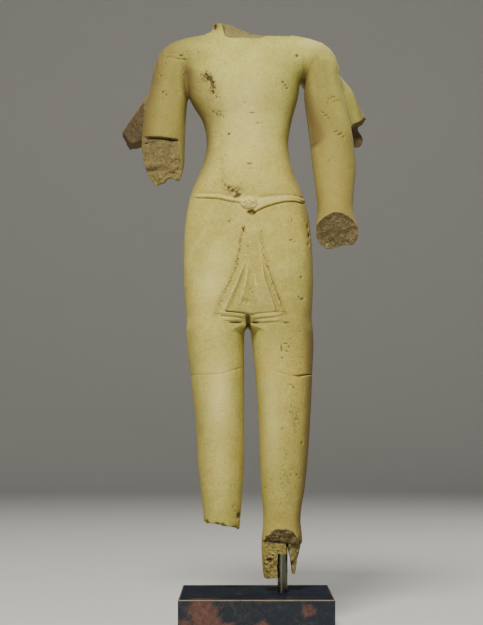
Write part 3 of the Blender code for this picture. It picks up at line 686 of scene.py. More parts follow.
# Marks on the front: side, height, half width, half height, depth, all in millimetres, and a turn in degrees.
MARKS = (
    (-82, 1105, 3.2, 2.7, 2.4, 25), (-76, 1100, 4.1, 2.9, 3.0, -20), (-73, 1093, 2.9, 3.4, 2.7, 28),
    (-70, 1086, 2.0, 3.7, 2.2, 20), (-68, 1080, 2.2, 2.4, 1.9, 15), (-69, 1071, 1.7, 2.7, 1.8, 10),
    (-68, 1068, 2.0, 2.0, 1.6, 10), (-62, 1060, 1.8, 2.7, 1.5, 0), (-84, 1109, 2.2, 2.2, 1.4, 0),
    (-69, 1033, 2.4, 2.4, 1.4, 0), (-62, 1028, 2.0, 2.7, 1.2, 0), (-55, 1025, 2.1, 2.1, 1.2, 0),
    (-49, 1022, 2.0, 2.0, 1.2, 0), (-37.5, 988, 2.6, 2.6, 2.0, 0), (-57, 975, 1.5, 1.5, 0.8, 0),
    (-6, 1048, 1.7, 1.7, 1.1, 0), (98, 1146, 2.8, 2.8, 2.0, 0), (70, 1091, 2.9, 2.4, 1.5, 0),
    (75, 1086, 2.4, 2.2, 1.4, 0), (78, 1080, 2.4, 2.0, 1.5, 0), (8, 1029, 5.5, 1.2, 1.5, -4),
    (20, 1009, 3.7, 1.3, 1.5, 18), (27, 1009, 2.0, 1.7, 1.2, 0), (-19, 863.5, 5.2, 3.0, 3.2, 18),
    (-27, 858, 3.0, 1.6, 1.4, 10), (-30, 873, 3.2, 3.9, 2.3, -20), (-37, 879, 2.4, 3.7, 1.8, -30),
    (-45, 885, 2.1, 3.2, 1.5, 0), (-22, 869, 2.4, 3.2, 1.9, -30), (-51, 893, 1.7, 3.9, 1.2, 0),
    (-10, 797, 1.5, 4.4, 1.8, 28), (-7, 799, 1.3, 3.9, 1.6, -30), (-8.5, 793, 1.2, 4.4, 1.5, 0),
    (-37, 812, 2.3, 2.3, 1.2, 0), (-33, 816, 1.2, 3.4, 1.2, 35), (-42, 810, 2.2, 1.3, 1.1, 20),
    (-34, 807, 1.4, 2.0, 1.0, 0), (87, 816, 1.6, 7.3, 1.1, -6), (85, 776, 3.9, 1.8, 1.4, 10),
    (92, 773, 2.9, 1.7, 1.2, 0), (105, 703, 2.7, 2.4, 1.6, 0), (107, 660, 3.2, 2.1, 1.6, 20),
    (101, 664, 1.8, 1.8, 1.1, 0), (-76, 760, 1.6, 1.6, 0.8, 0), (89, 486, 2.0, 2.2, 1.4, 0),
    (67, 404, 2.0, 3.7, 1.2, 0), (107, 376, 2.0, 2.4, 1.4, 0), (97, 313, 2.4, 1.7, 1.4, 10),
    (-59, 470, 2.2, 1.6, 0.8, 0), (-51, 437, 2.7, 1.6, 0.8, 0), (-18, 232, 3.9, 6.1, 2.4, -20),
    (-27, 252, 2.0, 4.3, 0.9, 0), (149, 1034, 3.7, 1.5, 1.4, -20), (156, 1028, 3.2, 2.0, 1.8, 10),
    (160, 1022, 3.4, 1.5, 1.4, -15), (176, 996, 4.1, 1.3, 1.8, 25), (184, 991, 6.1, 1.3, 1.9, 28),
    (191, 986, 3.2, 1.2, 1.4, 25), (161, 935, 2.2, 2.2, 1.2, 0), (-174, 1108, 2.4, 2.0, 1.4, 0),
    (-167, 1109, 2.2, 1.5, 1.1, 0), (-170, 1075, 2.7, 2.0, 1.5, 0), (-163, 1069, 2.4, 2.0, 1.5, 0),
    (-171, 1062, 1.8, 1.8, 0.9, 0), (-157, 1146, 11.0, 1.1, 1.1, -6), (-140, 1141, 8.5, 1.1, 1.4, -12),
    (-150, 1153, 13.4, 1.0, 0.8, -4), (-133, 1147, 3.7, 2.0, 1.9, 0), (-126, 1139, 3.2, 1.7, 1.6, -20),
    (-66, 1211, 3.0, 5.6, 3.2, 0), (14.4, 613.5, 6.5, 2.2, 3.0, 0), (-78, 1096, 2.6, 2.2, 2.2, 0),
    (-71, 1089, 2.2, 2.2, 2.0, 0), (119, 806, 2.2, 6.0, 1.6, 0), (121, 788, 2.0, 4.0, 1.8, 10),
    (120, 770, 2.2, 3.0, 1.4, 0), (-34, 866, 3.0, 1.6, 1.2, 10), (-26, 861, 2.4, 1.6, 1.0, 0),
    (2, 852, 1.6, 1.4, 1.4, 0), (9, 849, 1.4, 1.6, 1.4, 0), (-4, 843, 1.6, 1.3, 1.2, 0),
    (43, 144.5, 5.2, 2.6, 3.6, 0), (36, 135, 2.6, 1.6, 1.6, 0), (46, 128, 2.2, 1.6, 1.5, 0),
    (38, 120, 2.6, 1.5, 1.4, 0), (50, 153, 2.2, 1.6, 1.4, 0), (159.5, 1054, 1.2, 4.2, 1.5, -14),
    (164, 1062, 1.3, 4.4, 1.4, -48), (172, 1066, 5.0, 1.2, 1.3, 8), (173, 1056, 1.3, 4.0, 1.2, -50),
    (180, 1060, 4.2, 1.2, 1.2, 6), (186, 1058, 1.2, 2.4, 1.0, 0), (-80, 1097, 3.0, 2.6, 2.0, 30),
    (-71, 1097, 1.8, 1.6, 1.2, 0), (-67, 1089, 1.8, 2.2, 1.5, 0), (-65, 1078, 1.6, 1.8, 1.2, 0),
    (-55, 1060, 1.8, 1.6, 1.2, 0), (-60, 1066, 1.4, 1.8, 1.0, 0), (65.7, 562, 1.4, 7.5, 1.7, 4),
    (74, 571, 4.6, 1.3, 1.6, 6), (80, 565, 1.3, 3.4, 1.5, 20), (76, 556, 3.4, 1.3, 1.4, -20),
    (66.7, 543, 1.8, 1.8, 1.6, 0), (86, 490, 3.0, 1.1, 1.2, 20), (91, 484, 1.1, 2.6, 1.1, 0),
    (63, 364, 2.0, 1.5, 1.0, 20), (76, 352, 1.4, 1.8, 0.9, 0), (71, 332, 1.8, 1.4, 1.0, 40),
    (64, 305, 1.6, 2.2, 1.2, 20), (78, 297, 1.4, 1.4, 1.0, 0), (70, 286, 1.4, 2.6, 1.1, -25),
    (75, 268, 1.8, 1.3, 1.0, 0), (66, 256, 1.4, 2.0, 1.0, 10), (73, 236, 1.5, 1.5, 1.0, 0),
    (-51, 932, 1.0, 6.0, 1.0, 2), (-50, 908, 1.0, 6.0, 1.0, -3), (-57, 918, 1.3, 1.3, 1.0, 0),
    (-64, 992, 1.6, 1.6, 1.2, 0), (-53, 985, 1.6, 1.6, 1.2, 0), (-56, 1010, 1.3, 1.3, 0.9, 0),
    (-45, 945, 1.3, 3.0, 1.0, 10), (-22, 985, 1.2, 1.2, 0.8, 0), (-25, 1028, 1.1, 1.1, 0.8, 0),
    (12, 960, 1.3, 1.1, 0.8, 0), (53, 955, 1.3, 1.3, 0.9, 0), (52, 1000, 1.2, 1.2, 0.8, 0),
    (60, 925, 1.3, 1.2, 0.8, 0), (37, 890, 1.8, 1.5, 1.0, 0), (24, 888, 2.0, 1.6, 1.2, 0),
    (29, 880, 1.5, 1.5, 1.0, 0), (20, 880, 1.5, 1.2, 1.0, 0),
)

NAVEL = (0.0033, 0.9265)
# Where the front is thick with pits: side, height, half width, half height in millimetres, and how thick.
PITTED = (
    (46, 141, 22, 46, 1.25), (92, 150, 10, 25, 0.9), (68, 168, 14, 10, 1.1), (74, 300, 20, 70, 0.60),
    (94, 425, 13, 45, 0.80), (102, 540, 13, 34, 0.60), (-82, 1102, 13, 14, 1.25), (-70, 1080, 9, 20, 1.1),
    (-58, 1029, 16, 11, 0.85), (-54, 975, 10, 40, 0.50), (-50, 910, 8, 34, 0.60), (40, 1040, 26, 50, 0.30),
    (-130, 1120, 20, 60, 0.30), (-30, 877, 24, 11, 1.0), (10, 867, 55, 6, 0.50), (0, 848, 16, 8, 0.60),
    (-29, 853, 9, 5, 0.70), (6, 750, 18, 28, 0.50), (4, 690, 16, 30, 0.30), (-8, 798, 8, 10, 0.50),
    (-38, 812, 7, 6, 0.70), (88, 815, 6, 10, 0.50), (88, 774, 12, 4, 0.70), (104, 662, 11, 6, 0.70),
    (121, 790, 6, 24, 0.80), (72, 1088, 9, 9, 0.50), (152, 1030, 12, 9, 0.45), (163, 1060, 14, 8, 0.35),
    (-168, 1070, 10, 12, 0.50), (-170, 1107, 10, 5, 0.50), (-150, 1148, 24, 8, 0.40),
    (161, 935, 9, 9, 0.40), (69, 285, 6, 50, 0.45), (-25, 245, 10, 20, 0.60), (2, 618, 12, 10, 0.60),
    (68, 617, 8, 8, 0.45),
)


def pitting(x, z):
    """How thick the pits are here, from 0 to 1."""
    total = np.zeros_like(x)
    for side, height, wide, tall, thick in PITTED:
        away = ((x - side / 1000) / (wide / 1000)) ** 2 + ((z - height / 1000) / (tall / 1000)) ** 2
        total = np.maximum(total, thick * np.exp(-0.7 * away))
    for path in FAN_BORDERS:
        gap, _ = across_line(path, z, x)
        total = np.maximum(total, 0.76 * hill(gap, 0.0078))
    return np.minimum(total, 1)


def marks(x, z):
    """How deep the front is chipped, cracked and pitted here."""
    total = np.zeros_like(x)
    order = np.argsort(z)
    sorted_z = z[order]
    for side, height, wide, tall, depth, turn in MARKS:
        side, height, wide, tall, depth = (v / 1000 for v in (side, height, wide, tall, depth))
        reach = 2.6 * max(wide, tall)
        first, last = np.searchsorted(sorted_z, (height - reach, height + reach))
        if last <= first:
            continue
        pick = order[first:last]
        u, v = x[pick] - side, z[pick] - height
        turn = math.radians(turn)
        a = (u * math.cos(turn) + v * math.sin(turn)) / wide
        b = (v * math.cos(turn) - u * math.sin(turn)) / tall
        total[pick] += depth * np.exp(-((a * a + b * b) ** 1.5) * 0.7)
    return total


def pits(x, y, z, cell, share, shift):
    """Scattered pin holes in the stone: the depth, from 0 to 1, of the hole nearest here."""
    turned = (0.81 * x + 0.59 * z, y + 0.21 * x, 0.81 * z - 0.59 * x)
    spots = [v / cell + shift + 5.7 * k for k, v in enumerate(turned)]
    cells = [np.floor(v).astype(np.int32) for v in spots]
    low = [c & 63 for c in cells]
    pick = LATTICE[low[0], low[1], low[2]] * 0.5 + 0.5
    away = 0.0
    for k in range(3):
        centre = 0.5 + 0.24 * LATTICE[low[(k + 1) % 3], low[(k + 2) % 3], low[k]]
        away = away + (spots[k] - cells[k] - centre) ** 2
    size = 0.12 + 0.14 * np.minimum(pick / np.maximum(share, 0.02), 1.0)
    return np.exp(-((np.sqrt(away) / size) ** 2)) * (pick < share)


def back_relief(x, z):
    """The unseen side: spine, shoulder blades, seat, and the tucked tail of the garment."""
    spine = -0.0035 * hill(x + 0.002, 0.011) * step(0.885, 0.93, z) * step(1.175, 1.10, z)
    blades = sum(spot(x, z, side, 1.075, 0.042, 0.045) for side in (-0.062, 0.058))
    seat = sum(spot(x, z, side, 0.700, 0.050, 0.060) for side in (-0.055, 0.057))
    cleft = -0.007 * hill(x - 0.001, 0.010) * step(0.80, 0.73, z) * step(0.606, 0.64, z)
    under = -0.004 * hill(z - 0.622 - 0.6 * np.abs(x) ** 1.2, 0.012) * step(0.115, 0.07, np.abs(x))
    half = 0.013 + 0.010 * step(0.85, 0.72, z)
    tail = step(half + 0.001, half - 0.001, np.abs(x - 0.001)) * step(0.690, 0.696, z) * step(0.866, 0.862, z)
    pleats = 0.0022 + 0.0008 * np.cos((x - 0.001) / half * math.pi * 3)
    tail = tail * (pleats + 0.007 * hill(x - 0.001, 0.010) * step(0.80, 0.73, z))
    return spine + 0.0035 * blades + 0.006 * seat + cleft + under + tail


# How near the surface the carving is worked out.
CARVED_WITHIN = 0.02
# The pits on the front: the cells that each may hold one, the most that do, and the shift of their noise.
PIT_CELL = 0.0078
PIT_SHARE = 0.65
PIT_SHIFT = 0.8


def all_relief(x, y, z):
    """How far the stone stands proud of its plain body: all the carving, the chips and the pits."""
    front = step(0.002, -0.006, y)
    total = front_relief(x, z) * front + belt_relief(x, y, z)
    total += back_relief(x, z) * (1 - front)

    # The navel, and the roll under it.
    side, over = x - NAVEL[0], z - NAVEL[1]
    total -= front * 0.0054 * hill(np.hypot(side / 2.6, over - 9.0 * side**2), 0.0021)
    total += front * 0.0022 * hill(np.hypot(side / 2.2, over + 0.0064), 0.0036)

    # The chips and pits on the front.
    ahead = y < 0.002
    u, v, w = x[ahead], y[ahead], z[ahead]
    chips = 1.25 * marks(u, w)
    chips += 0.0016 * pits(u, v, w, PIT_CELL, PIT_SHARE * pitting(u, w), PIT_SHIFT)
    total[ahead] -= chips * front[ahead]

    # The left arm: a hollow on its inner side over the elbow, and the crease in the bend.
    total -= front * 0.0034 * spot(x, z, 0.139, 1.004, 0.022, 0.040)
    crease = z - 0.9690 - 0.62 * (x - 0.1330)
    bend = step(0.120, 0.128, x) * step(0.170, 0.152, x) * front
    total += bend * (0.0016 * hill(crease + 0.0090, 0.0085) - 0.0012 * hill(crease - 0.0012, 0.0030))

    # Sparse pin holes and a faint unevenness all over.
    total -= 0.0009 * pits(x, y, z, 0.011, 0.16, 0.3)
    total += 0.00045 * rough(x, y, z, 0.034, 2, 31.0)
    return total


def statue(points, whole=False):
    """The statue's distance field. With whole, nothing has been broken off it."""
    x, y, z = (np.ascontiguousarray(v) for v in points)

    def breaking(part, lost):
        return part if whole else cut(part, -lost, WORN_EDGE)

    trunk = column("trunk", x, y, z, TRUNK_SQUARENESS)
    belly = spot(x, z, 0.001, 0.900, 0.052, 0.045)
    chest = sum(spot(x, z, side, 1.082, 0.045, 0.036) for side in (-0.058, 0.050))
    front = step(0.004, -0.010, y)
    trunk = trunk - front * (0.0030 * belly + 0.0022 * chest)
    trunk = trunk + front * 0.0012 * hill(x + 0.003, 0.012) * step(0.93, 0.97, z) * step(1.13, 1.08, z)

    recess = bar(LEG_RECESS, x, y, z)
    legs = join(
        breaking(column("leg_right", x, y, z), broken_shin(x, y, z)),
        breaking(column("leg_left", x, y, z), broken_foot(x, y, z)),
        LEG_BLEND,
    )
    body = cut(join(trunk, legs, HIP_BLEND), recess, LEG_BLEND)
    body = join(body, shoulders(x, y, z), SHOULDER_BLEND)
    rear = breaking(bar(REAR_ARM_RIGHT, x, y, z), broken_rear_right(x, y, z))
    rear_left = bar(REAR_ARM_LEFT, x, y, z, REAR_ARM_SWELL)
    rear = np.minimum(rear, breaking(rear_left, broken_rear_left(x, y, z)))
    body = join(body, rear, REAR_ARM_BLEND)
    arms = breaking(column("arm_right", x, y, z), broken_elbow(x, y, z))
    left = column("arm_left", x, y, z) - wrist_corners(x, y, z)
    arms = np.minimum(arms, breaking(left, broken_wrist(x, y, z)))
    rest = bar(REAR_ARM_REST, x, y, z) + (0 if whole else 0.0015 * rough(x, y, z, 0.010, 3, 21.0))
    body = np.minimum(join(body, arms, ARM_BLEND), rest)
    body = join(body, column("neck", x, y, z), NECK_BLEND)
    if not whole:
        body = cut(body, -broken_neck(x, y, z), WORN_NECK_EDGE)

    shell = np.abs(body) < CARVED_WITHIN
    body[shell] -= all_relief(x[shell], y[shell], z[shell])
    return body


# ------------------------------------------------------------------------------------------ field to mesh

FINEST = 0.00125
HALVINGS = 3
SEARCH_MARGIN = 0.012
# A cell is halved if the surface is within this share of its size and this far again.
HALVE_SHARE = 0.9
HALVE_MARGIN = 0.004
# The most that a point moves in one pass onto the surface, as a share of the cells' size.
SETTLE_SHARE = 0.4
MOST_TRIANGLES = 196000
CHUNK = 120000


def everywhere(points, **choice):
    """The field at many points, in pieces small enough to stay in the processor's cache."""
    count = points.shape[1]
    parts = [slice(i, min(i + CHUNK, count)) for i in range(0, count, CHUNK)]
    found = np.empty(count)

    def fill(part):
        found[part] = statue(points[:, part], **choice)

    with ThreadPoolExecutor(4) as pool:
        list(pool.map(fill, parts))
    return found


def sampled(low, high):
    """The field on a grid of cell centres, measured finely only where the surface is near."""
    spacing = FINEST * 2**HALVINGS
    shape = np.ceil((high - low) / spacing).astype(int)
    index = np.indices(shape).reshape(3, -1)
    grid = everywhere(low[:, None] + (index + 0.5) * spacing).reshape(shape).astype(np.float32)
    for level in range(HALVINGS):
        reach = spacing * HALVE_SHARE + HALVE_MARGIN
        spacing /= 2
        near = np.abs(grid) < reach
        for axis in range(3):
            grid = np.repeat(grid, 2, axis)
            near = np.repeat(near, 2, axis)
        index = np.array(np.nonzero(near))
        grid[tuple(index)] = everywhere(low[:, None] + (index + 0.5) * spacing)
    return grid, spacing


def slope(points, values, width):
    """The field's gradient, from three more readings beside each point."""
    found = np.empty_like(points)
    for axis in range(3):
        beside = points.copy()
        beside[axis] += width
        found[axis] = (everywhere(beside) - values) / width
    return found


def settle(points, passes, width):
    """Moves points along the field's gradient onto its surface."""
    for _ in range(passes):
        values = everywhere(points)
        gradient = slope(points, values, width)
        steep = np.maximum((gradient**2).sum(0), 0.05)
        move = np.clip(-values / steep, -width, width) * gradient
        points = points + move
    return points


def surface(low, high):
    """The statue's mesh: its vertices, 3 by n, and the corners of its four-sided faces."""
    grid, spacing = sampled(low, high)
    band = 4 * spacing
    volume = openvdb.FloatGrid(band)
    volume.copyFromArray(np.clip(grid, -band, band))
    points, quads = volume.convertToQuads(0.0)
    points = low[:, None] + (points.T.astype(float) + 0.5) * spacing
    return settle(points, 2, spacing * SETTLE_SHARE), quads


def placed(name, data):
    """A new object with this data, in the scene."""
    obj = bpy.data.objects.new(name, data)
    bpy.context.scene.collection.objects.link(obj)
    return obj


def to_mesh(name, points, faces):
    """A mesh from its points, 3 by n, and the corners of its faces."""
    mesh = bpy.data.meshes.new(name)
    mesh.vertices.add(points.shape[1])
    mesh.vertices.foreach_set("co", points.T.astype(np.float32).ravel())
    corners = faces.shape[1]
    mesh.loops.add(faces.size)
    mesh.loops.foreach_set("vertex_index", faces.ravel().astype(np.int32))
    mesh.polygons.add(len(faces))
    mesh.polygons.foreach_set("loop_start", np.arange(0, faces.size, corners, dtype=np.int32))
    mesh.update(calc_edges=True)
    mesh.validate()
    return mesh


def thinned(mesh, most):
    """The mesh with its flattest faces merged until no more triangles than this are left."""
    obj = placed("thinning", mesh)
    fewer = obj.modifiers.new("fewer", "DECIMATE")
    fewer.ratio = min(1.0, most / (2 * len(mesh.polygons)))
    fewer.use_collapse_triangulate = True
    depsgraph = bpy.context.evaluated_depsgraph_get()
    made = bpy.data.meshes.new_from_object(obj.evaluated_get(depsgraph))
    bpy.data.objects.remove(obj)
    return made


def paint(mesh, name, values):
    """Keeps a value on every vertex, for the material to read."""
    layer = mesh.attributes.new(name, "FLOAT", "POINT")
    layer.data.foreach_set("value", np.clip(values, 0, 1).astype(np.float32))


# ------------------------------------------------------------------------------------------- materials

# Colours, as linear red, green and blue.
SKIN_OLIVE = (0.425, 0.400, 0.098)
SKIN_OCHRE = (0.510, 0.400, 0.092)
SKIN_GREEN = (0.420, 0.415, 0.105)
SKIN_HIGH = (0.535, 0.520, 0.138)
SKIN_PALE = (0.575, 0.515, 0.150)
# Pale specks, and painted highlight on the ridges and in patches.
SKIN_LIGHT = (0.720, 0.650, 0.250)
SKIN_SHADE = (0.300, 0.245, 0.052)
SKIN_RUST = (0.335, 0.232, 0.036)
# Darker aged colour, which also carries painted shade where the light falls off.
SKIN_AGED_AND_SHADED = (0.208, 0.172, 0.042)
SKIN_STAIN = (0.290, 0.228, 0.052)
# Painted shade for the armpits, flanks, inner arm and sides turned away from the light.
PAINTED_SHADE_UMBER = (0.150, 0.100, 0.038)
SKIN_DARK = (0.110, 0.072, 0.028)
# Painted shade for the bottoms of pits, grooves, cracks and undercuts.
PAINTED_SHADE_DEEP = (0.066, 0.040, 0.025)
BREAK_DARK = (0.095, 0.072, 0.036)
BREAK_LIGHT = (0.262, 0.212, 0.096)
BREAK_WARM = (0.215, 0.150, 0.070)
STEEL_DARK = (0.085, 0.090, 0.068)
STEEL_LIGHT = (0.160, 0.165, 0.120)
STEEL_SPOT = (0.10, 0.075, 0.05)
MARBLE_GREY = (0.008, 0.012, 0.022)
MARBLE_GREEN = (0.010, 0.015, 0.019)
MARBLE_PALE = (0.028, 0.034, 0.048)
MARBLE_RED = (0.070, 0.028, 0.022)
MARBLE_RUST = (0.118, 0.060, 0.044)
MARBLE_VEIN = (0.060, 0.056, 0.052)
# Painted highlight along the plinth's top edges.
MARBLE_GLINT = (0.240, 0.185, 0.120)
MARBLE_SHIFT = 1.7
# Red patches in the marble: a point in it, how far they reach, and how strong they are.
MARBLE_PATCHES = (
    ((-0.110, -0.140, 0.030), 0.075, 0.30),
    ((-0.060, -0.140, 0.012), 0.050, 0.20),
    ((0.005, -0.140, 0.022), 0.030, 0.22),
    ((0.100, -0.140, 0.062), 0.026, 0.20),
    ((0.060, 0.100, 0.080), 0.080, 0.10),
)


class Nodes:
    """A short way to write a material's node tree."""

    def __init__(self, material):
        self.tree = material.node_tree
        self.place = self.tree.nodes.new("ShaderNodeTexCoord").outputs["Object"]

    def add(self, kind, inputs=(), output=0, **settings):
        node = self.tree.nodes.new("ShaderNode" + kind)
        for key, value in settings.items():
            setattr(node, key, value)
        for key, value in dict(inputs).items():
            if isinstance(value, bpy.types.NodeSocket):
                self.tree.links.new(value, node.inputs[key])
            else:
                node.inputs[key].default_value = value
        return node.outputs[output]

    def stretched(self, scale):
        return self.add("VectorMath", {0: self.place, 1: scale}, operation="MULTIPLY")

    def noise(self, scale, detail=3.0, roughness=0.5, shift=0.0, place=None, distortion=0.0):
        shifted = self.add("VectorMath", {0: place or self.place, 1: (shift, shift * 0.7, -shift)})
        inputs = {"Vector": shifted, "Scale": scale, "Detail": detail, "Roughness": roughness}
        inputs["Distortion"] = distortion
        return self.add("TexNoise", inputs)

    def cells(self, scale, shift=0.0):
        shifted = self.add("VectorMath", {0: self.place, 1: (shift, -shift, shift * 0.3)})
        return self.add("TexVoronoi", {"Vector": shifted, "Scale": scale})

    def span(self, value, low, high, to_low=0.0, to_high=1.0):
        """A smooth step of a value from low to high."""
        inputs = {"Value": value, "From Min": low, "From Max": high, "To Min": to_low, "To Max": to_high}
        return self.add("MapRange", inputs, interpolation_type="SMOOTHSTEP")

    def math(self, operation, a, b=0.0):
        return self.add("Math", {0: a, 1: b}, operation=operation)

    def product(self, first, *others):
        for other in others:
            first = self.math("MULTIPLY", first, other)
        return first

    def over(self, base, colour, *shares):
        """The base with a colour laid over it, as thick as the shares multiplied together."""
        return self.mix(self.product(*shares), base, colour)

    def mix(self, share, a, b, blend="MIX"):
        node = self.tree.nodes.new("ShaderNodeMix")
        node.data_type = "RGBA"
        node.blend_type = blend
        for index, value in ((0, share), (6, a), (7, b)):
            if isinstance(value, bpy.types.NodeSocket):
                self.tree.links.new(value, node.inputs[index])
            elif index:
                node.inputs[index].default_value = (*value, 1.0)
            else:
                node.inputs[index].default_value = value
        return node.outputs[2]

    def attribute(self, name):
        return self.add("Attribute", output="Fac", attribute_name=name)

    def bump(self, height, distance, strength=1.0, normal=None):
        inputs = {"Height": height, "Distance": distance, "Strength": strength}
        if normal:
            inputs["Normal"] = normal
        return self.add("Bump", inputs)


def new_material(name):
    """A new material, the writer for its nodes, and its shader."""
    made = bpy.data.materials.new(name)
    made.use_nodes = True
    return made, Nodes(made), made.node_tree.nodes["Principled BSDF"]


def wire(shader, inputs):
    """Links sockets to the shader's inputs, and sets plain values on them directly."""
    for name, value in inputs.items():
        if isinstance(value, bpy.types.NodeSocket):
            shader.id_data.links.new(value, shader.inputs[name])
        else:
            shader.inputs[name].default_value = value


def sandstone():
    """Olive buff sandstone: its worn skin, and the darker, coarser stone where it is broken, with painted
    shade and painted highlights laid over them.
    """
    made, n, shader = new_material("weathered_sandstone")
    # Where it is broken, painted shade in pits, grooves and undercuts, and stains.
    broken, hollow_shade, stain = n.attribute("broken"), n.attribute("hollow_shade"), n.attribute("stain")
    # The raised parts' rubbed wear with painted highlight, and where pits crowd.
    proud, pitted = n.attribute("proud"), n.attribute("pitted")
    # Aged colour with painted shade, the breaks' freshness, and painted shade in the creases.
    worn, fresh, painted_shade = n.attribute("patina_and_shade"), n.attribute("fresh"), n.attribute("painted_shade")

    # The worn skin: olive buff, clouded, with finer mottling and dark and pale specks.
    cloud = n.span(n.noise(8.0, 3.0, 0.55), 0.36, 0.66)
    patch = n.span(n.noise(34.0, 4.0, 0.6, shift=3.1), 0.35, 0.68)
    mottle = n.span(n.noise(190.0, 4.0, 0.7, shift=1.3), 0.30, 0.70)
    grain = n.noise(900.0, 2.0, 0.6, shift=7.9)
    up = n.add("SeparateXYZ", {0: n.place}, "Z")
    rust = n.span(n.noise(17.0, 4.0, 0.7, shift=11.0), 0.54, 0.74)
    sparse = n.span(n.noise(52.0, 2.0, 0.5, shift=5.0), 0.50, 0.62)
    specks = n.span(n.cells(330.0, 2.0), 0.10, 0.22, 1.0, 0.0)
    pale = n.span(n.cells(410.0, 6.0), 0.08, 0.17, 1.0, 0.0)
    browned = n.span(n.noise(230.0, 3.0, 0.7, shift=8.0), 0.30, 0.62)
    # Pits crowd where the stone is marked as pitted, and a few lie anywhere.
    chance = n.noise(110.0, 1.0, 0.5, shift=13.0)
    wide = n.span(n.cells(165.0, 4.0), 0.20, 0.36, 0.60, 0.0)
    small = n.span(n.cells(290.0, 9.0), 0.18, 0.34, 0.55, 0.0)
    pit = n.product(n.math("MAXIMUM", wide, small), pitted)
    pit = n.span(n.math("ADD", pit, chance), 0.72, 0.92)
    dots = n.span(n.cells(120.0, 21.0), 0.10, 0.16, 1.0, 0.0)
    rare = n.span(n.noise(75.0, 2.0, 0.5, shift=17.0), 0.52, 0.60)
    pocks = n.span(n.noise(230.0, 3.0, 0.6, shift=19.0, place=n.stretched((1.0, 1.0, 1.7))), 0.50, 0.58)
    pocks = n.product(pocks, n.span(pitted, 0.50, 0.95))
    skin = n.mix(cloud, SKIN_OCHRE, SKIN_OLIVE)
    layers = (
        (SKIN_GREEN, n.span(up, 0.80, 1.12, 0.0, 0.75)),
        (n.mix(n.span(up, 0.80, 1.12), SKIN_PALE, SKIN_HIGH), patch, 0.62),
        (SKIN_SHADE, mottle, 0.50),
        (SKIN_RUST, rust, 0.46),
        # Aged colour, partly painted shade where the light falls off.
        (SKIN_AGED_AND_SHADED, worn, 0.72),
        (SKIN_DARK, specks, sparse, 0.55),
        (SKIN_LIGHT, pale, 0.34),
        # Raised parts rubbed paler, with painted highlight on them and in patches.
        (SKIN_LIGHT, proud, 0.68),
        (SKIN_STAIN, stain, browned, 0.80),
        (SKIN_DARK, pit, pitted, 0.95),
        (SKIN_DARK, dots, rare, 0.60),
        (SKIN_DARK, pocks, 0.85),
        # Painted shade in the creases, down the flanks and on sides turned away from the light.
        (PAINTED_SHADE_UMBER, painted_shade),
        # Painted shade in pits, grooves, cracks and undercuts.
        (PAINTED_SHADE_DEEP, hollow_shade),
    )
    for colour, *shares in layers:
        skin = n.over(skin, colour, *shares)

    # Where it is broken: grey brown and coarse, with painted shade in its hollows.
    crumb = n.noise(240.0, 5.0, 0.7, shift=4.0)
    face = n.mix(n.span(crumb, 0.36, 0.64), BREAK_DARK, BREAK_LIGHT)
    face = n.over(face, BREAK_WARM, n.span(n.noise(60.0, 3.0, 0.6, shift=2.0), 0.42, 0.66, 0.0, 0.6))
    aged = n.mix(n.span(crumb, 0.30, 0.52), BREAK_LIGHT, skin)
    face = n.mix(fresh, aged, face)
    ragged = n.math("ADD", broken, n.product(n.noise(420.0, 2.0, shift=1.0), 0.5))
    share = n.span(ragged, 0.60, 0.90)
    # Painted shade in the breaks' recesses.
    colour = n.over(n.mix(share, skin, face), PAINTED_SHADE_DEEP, hollow_shade, share, 0.9)
    grit = n.span(grain, 0.30, 0.72, 0.78, 1.16)
    grey = n.add("CombineColor", {"Red": grit, "Green": grit, "Blue": grit})
    colour = n.mix(1.0, colour, grey, "MULTIPLY")

    height = n.product(grain, 0.35)
    height = n.math("ADD", height, n.product(n.noise(260.0, 3.0, 0.6, shift=6.0), 0.65))
    holes = n.product(n.span(n.cells(330.0, 2.0), 0.10, 0.22, -0.8, 0.0), sparse)
    height = n.math("SUBTRACT", n.math("ADD", height, holes), n.product(pit, pitted))
    height = n.math("SUBTRACT", height, pocks)
    both = n.bump(n.product(crumb, share), 0.0030, 0.75, n.bump(height, 0.0009, 0.60))
    wire(shader, {
        "Base Color": colour,
        "Roughness": n.span(share, 0.0, 1.0, 0.72, 0.95),
        "Normal": both,
        "Specular IOR Level": 0.15,
    })
    return made


def rod_steel():
    """Dull steel with streaks along the bar and a few brown spots."""
    made, n, shader = new_material("dull_steel")
    streaks = n.noise(60.0, 4.0, 0.6, place=n.stretched((9.0, 9.0, 0.5)))
    spots = n.span(n.noise(240.0, 3.0, 0.6, shift=2.0), 0.5, 0.75)
    tone = n.mix(n.span(streaks, 0.3, 0.7), STEEL_DARK, STEEL_LIGHT)
    tone = n.over(tone, STEEL_SPOT, spots, 0.45)
    rubbed = n.span(streaks, 0.2, 0.8, 0.20, 0.34)
    wire(shader, {
        "Base Color": tone,
        "Roughness": rubbed,
        "Metallic": 0.95,
        "Normal": n.bump(streaks, 0.0002, 0.3),
    })
    return made


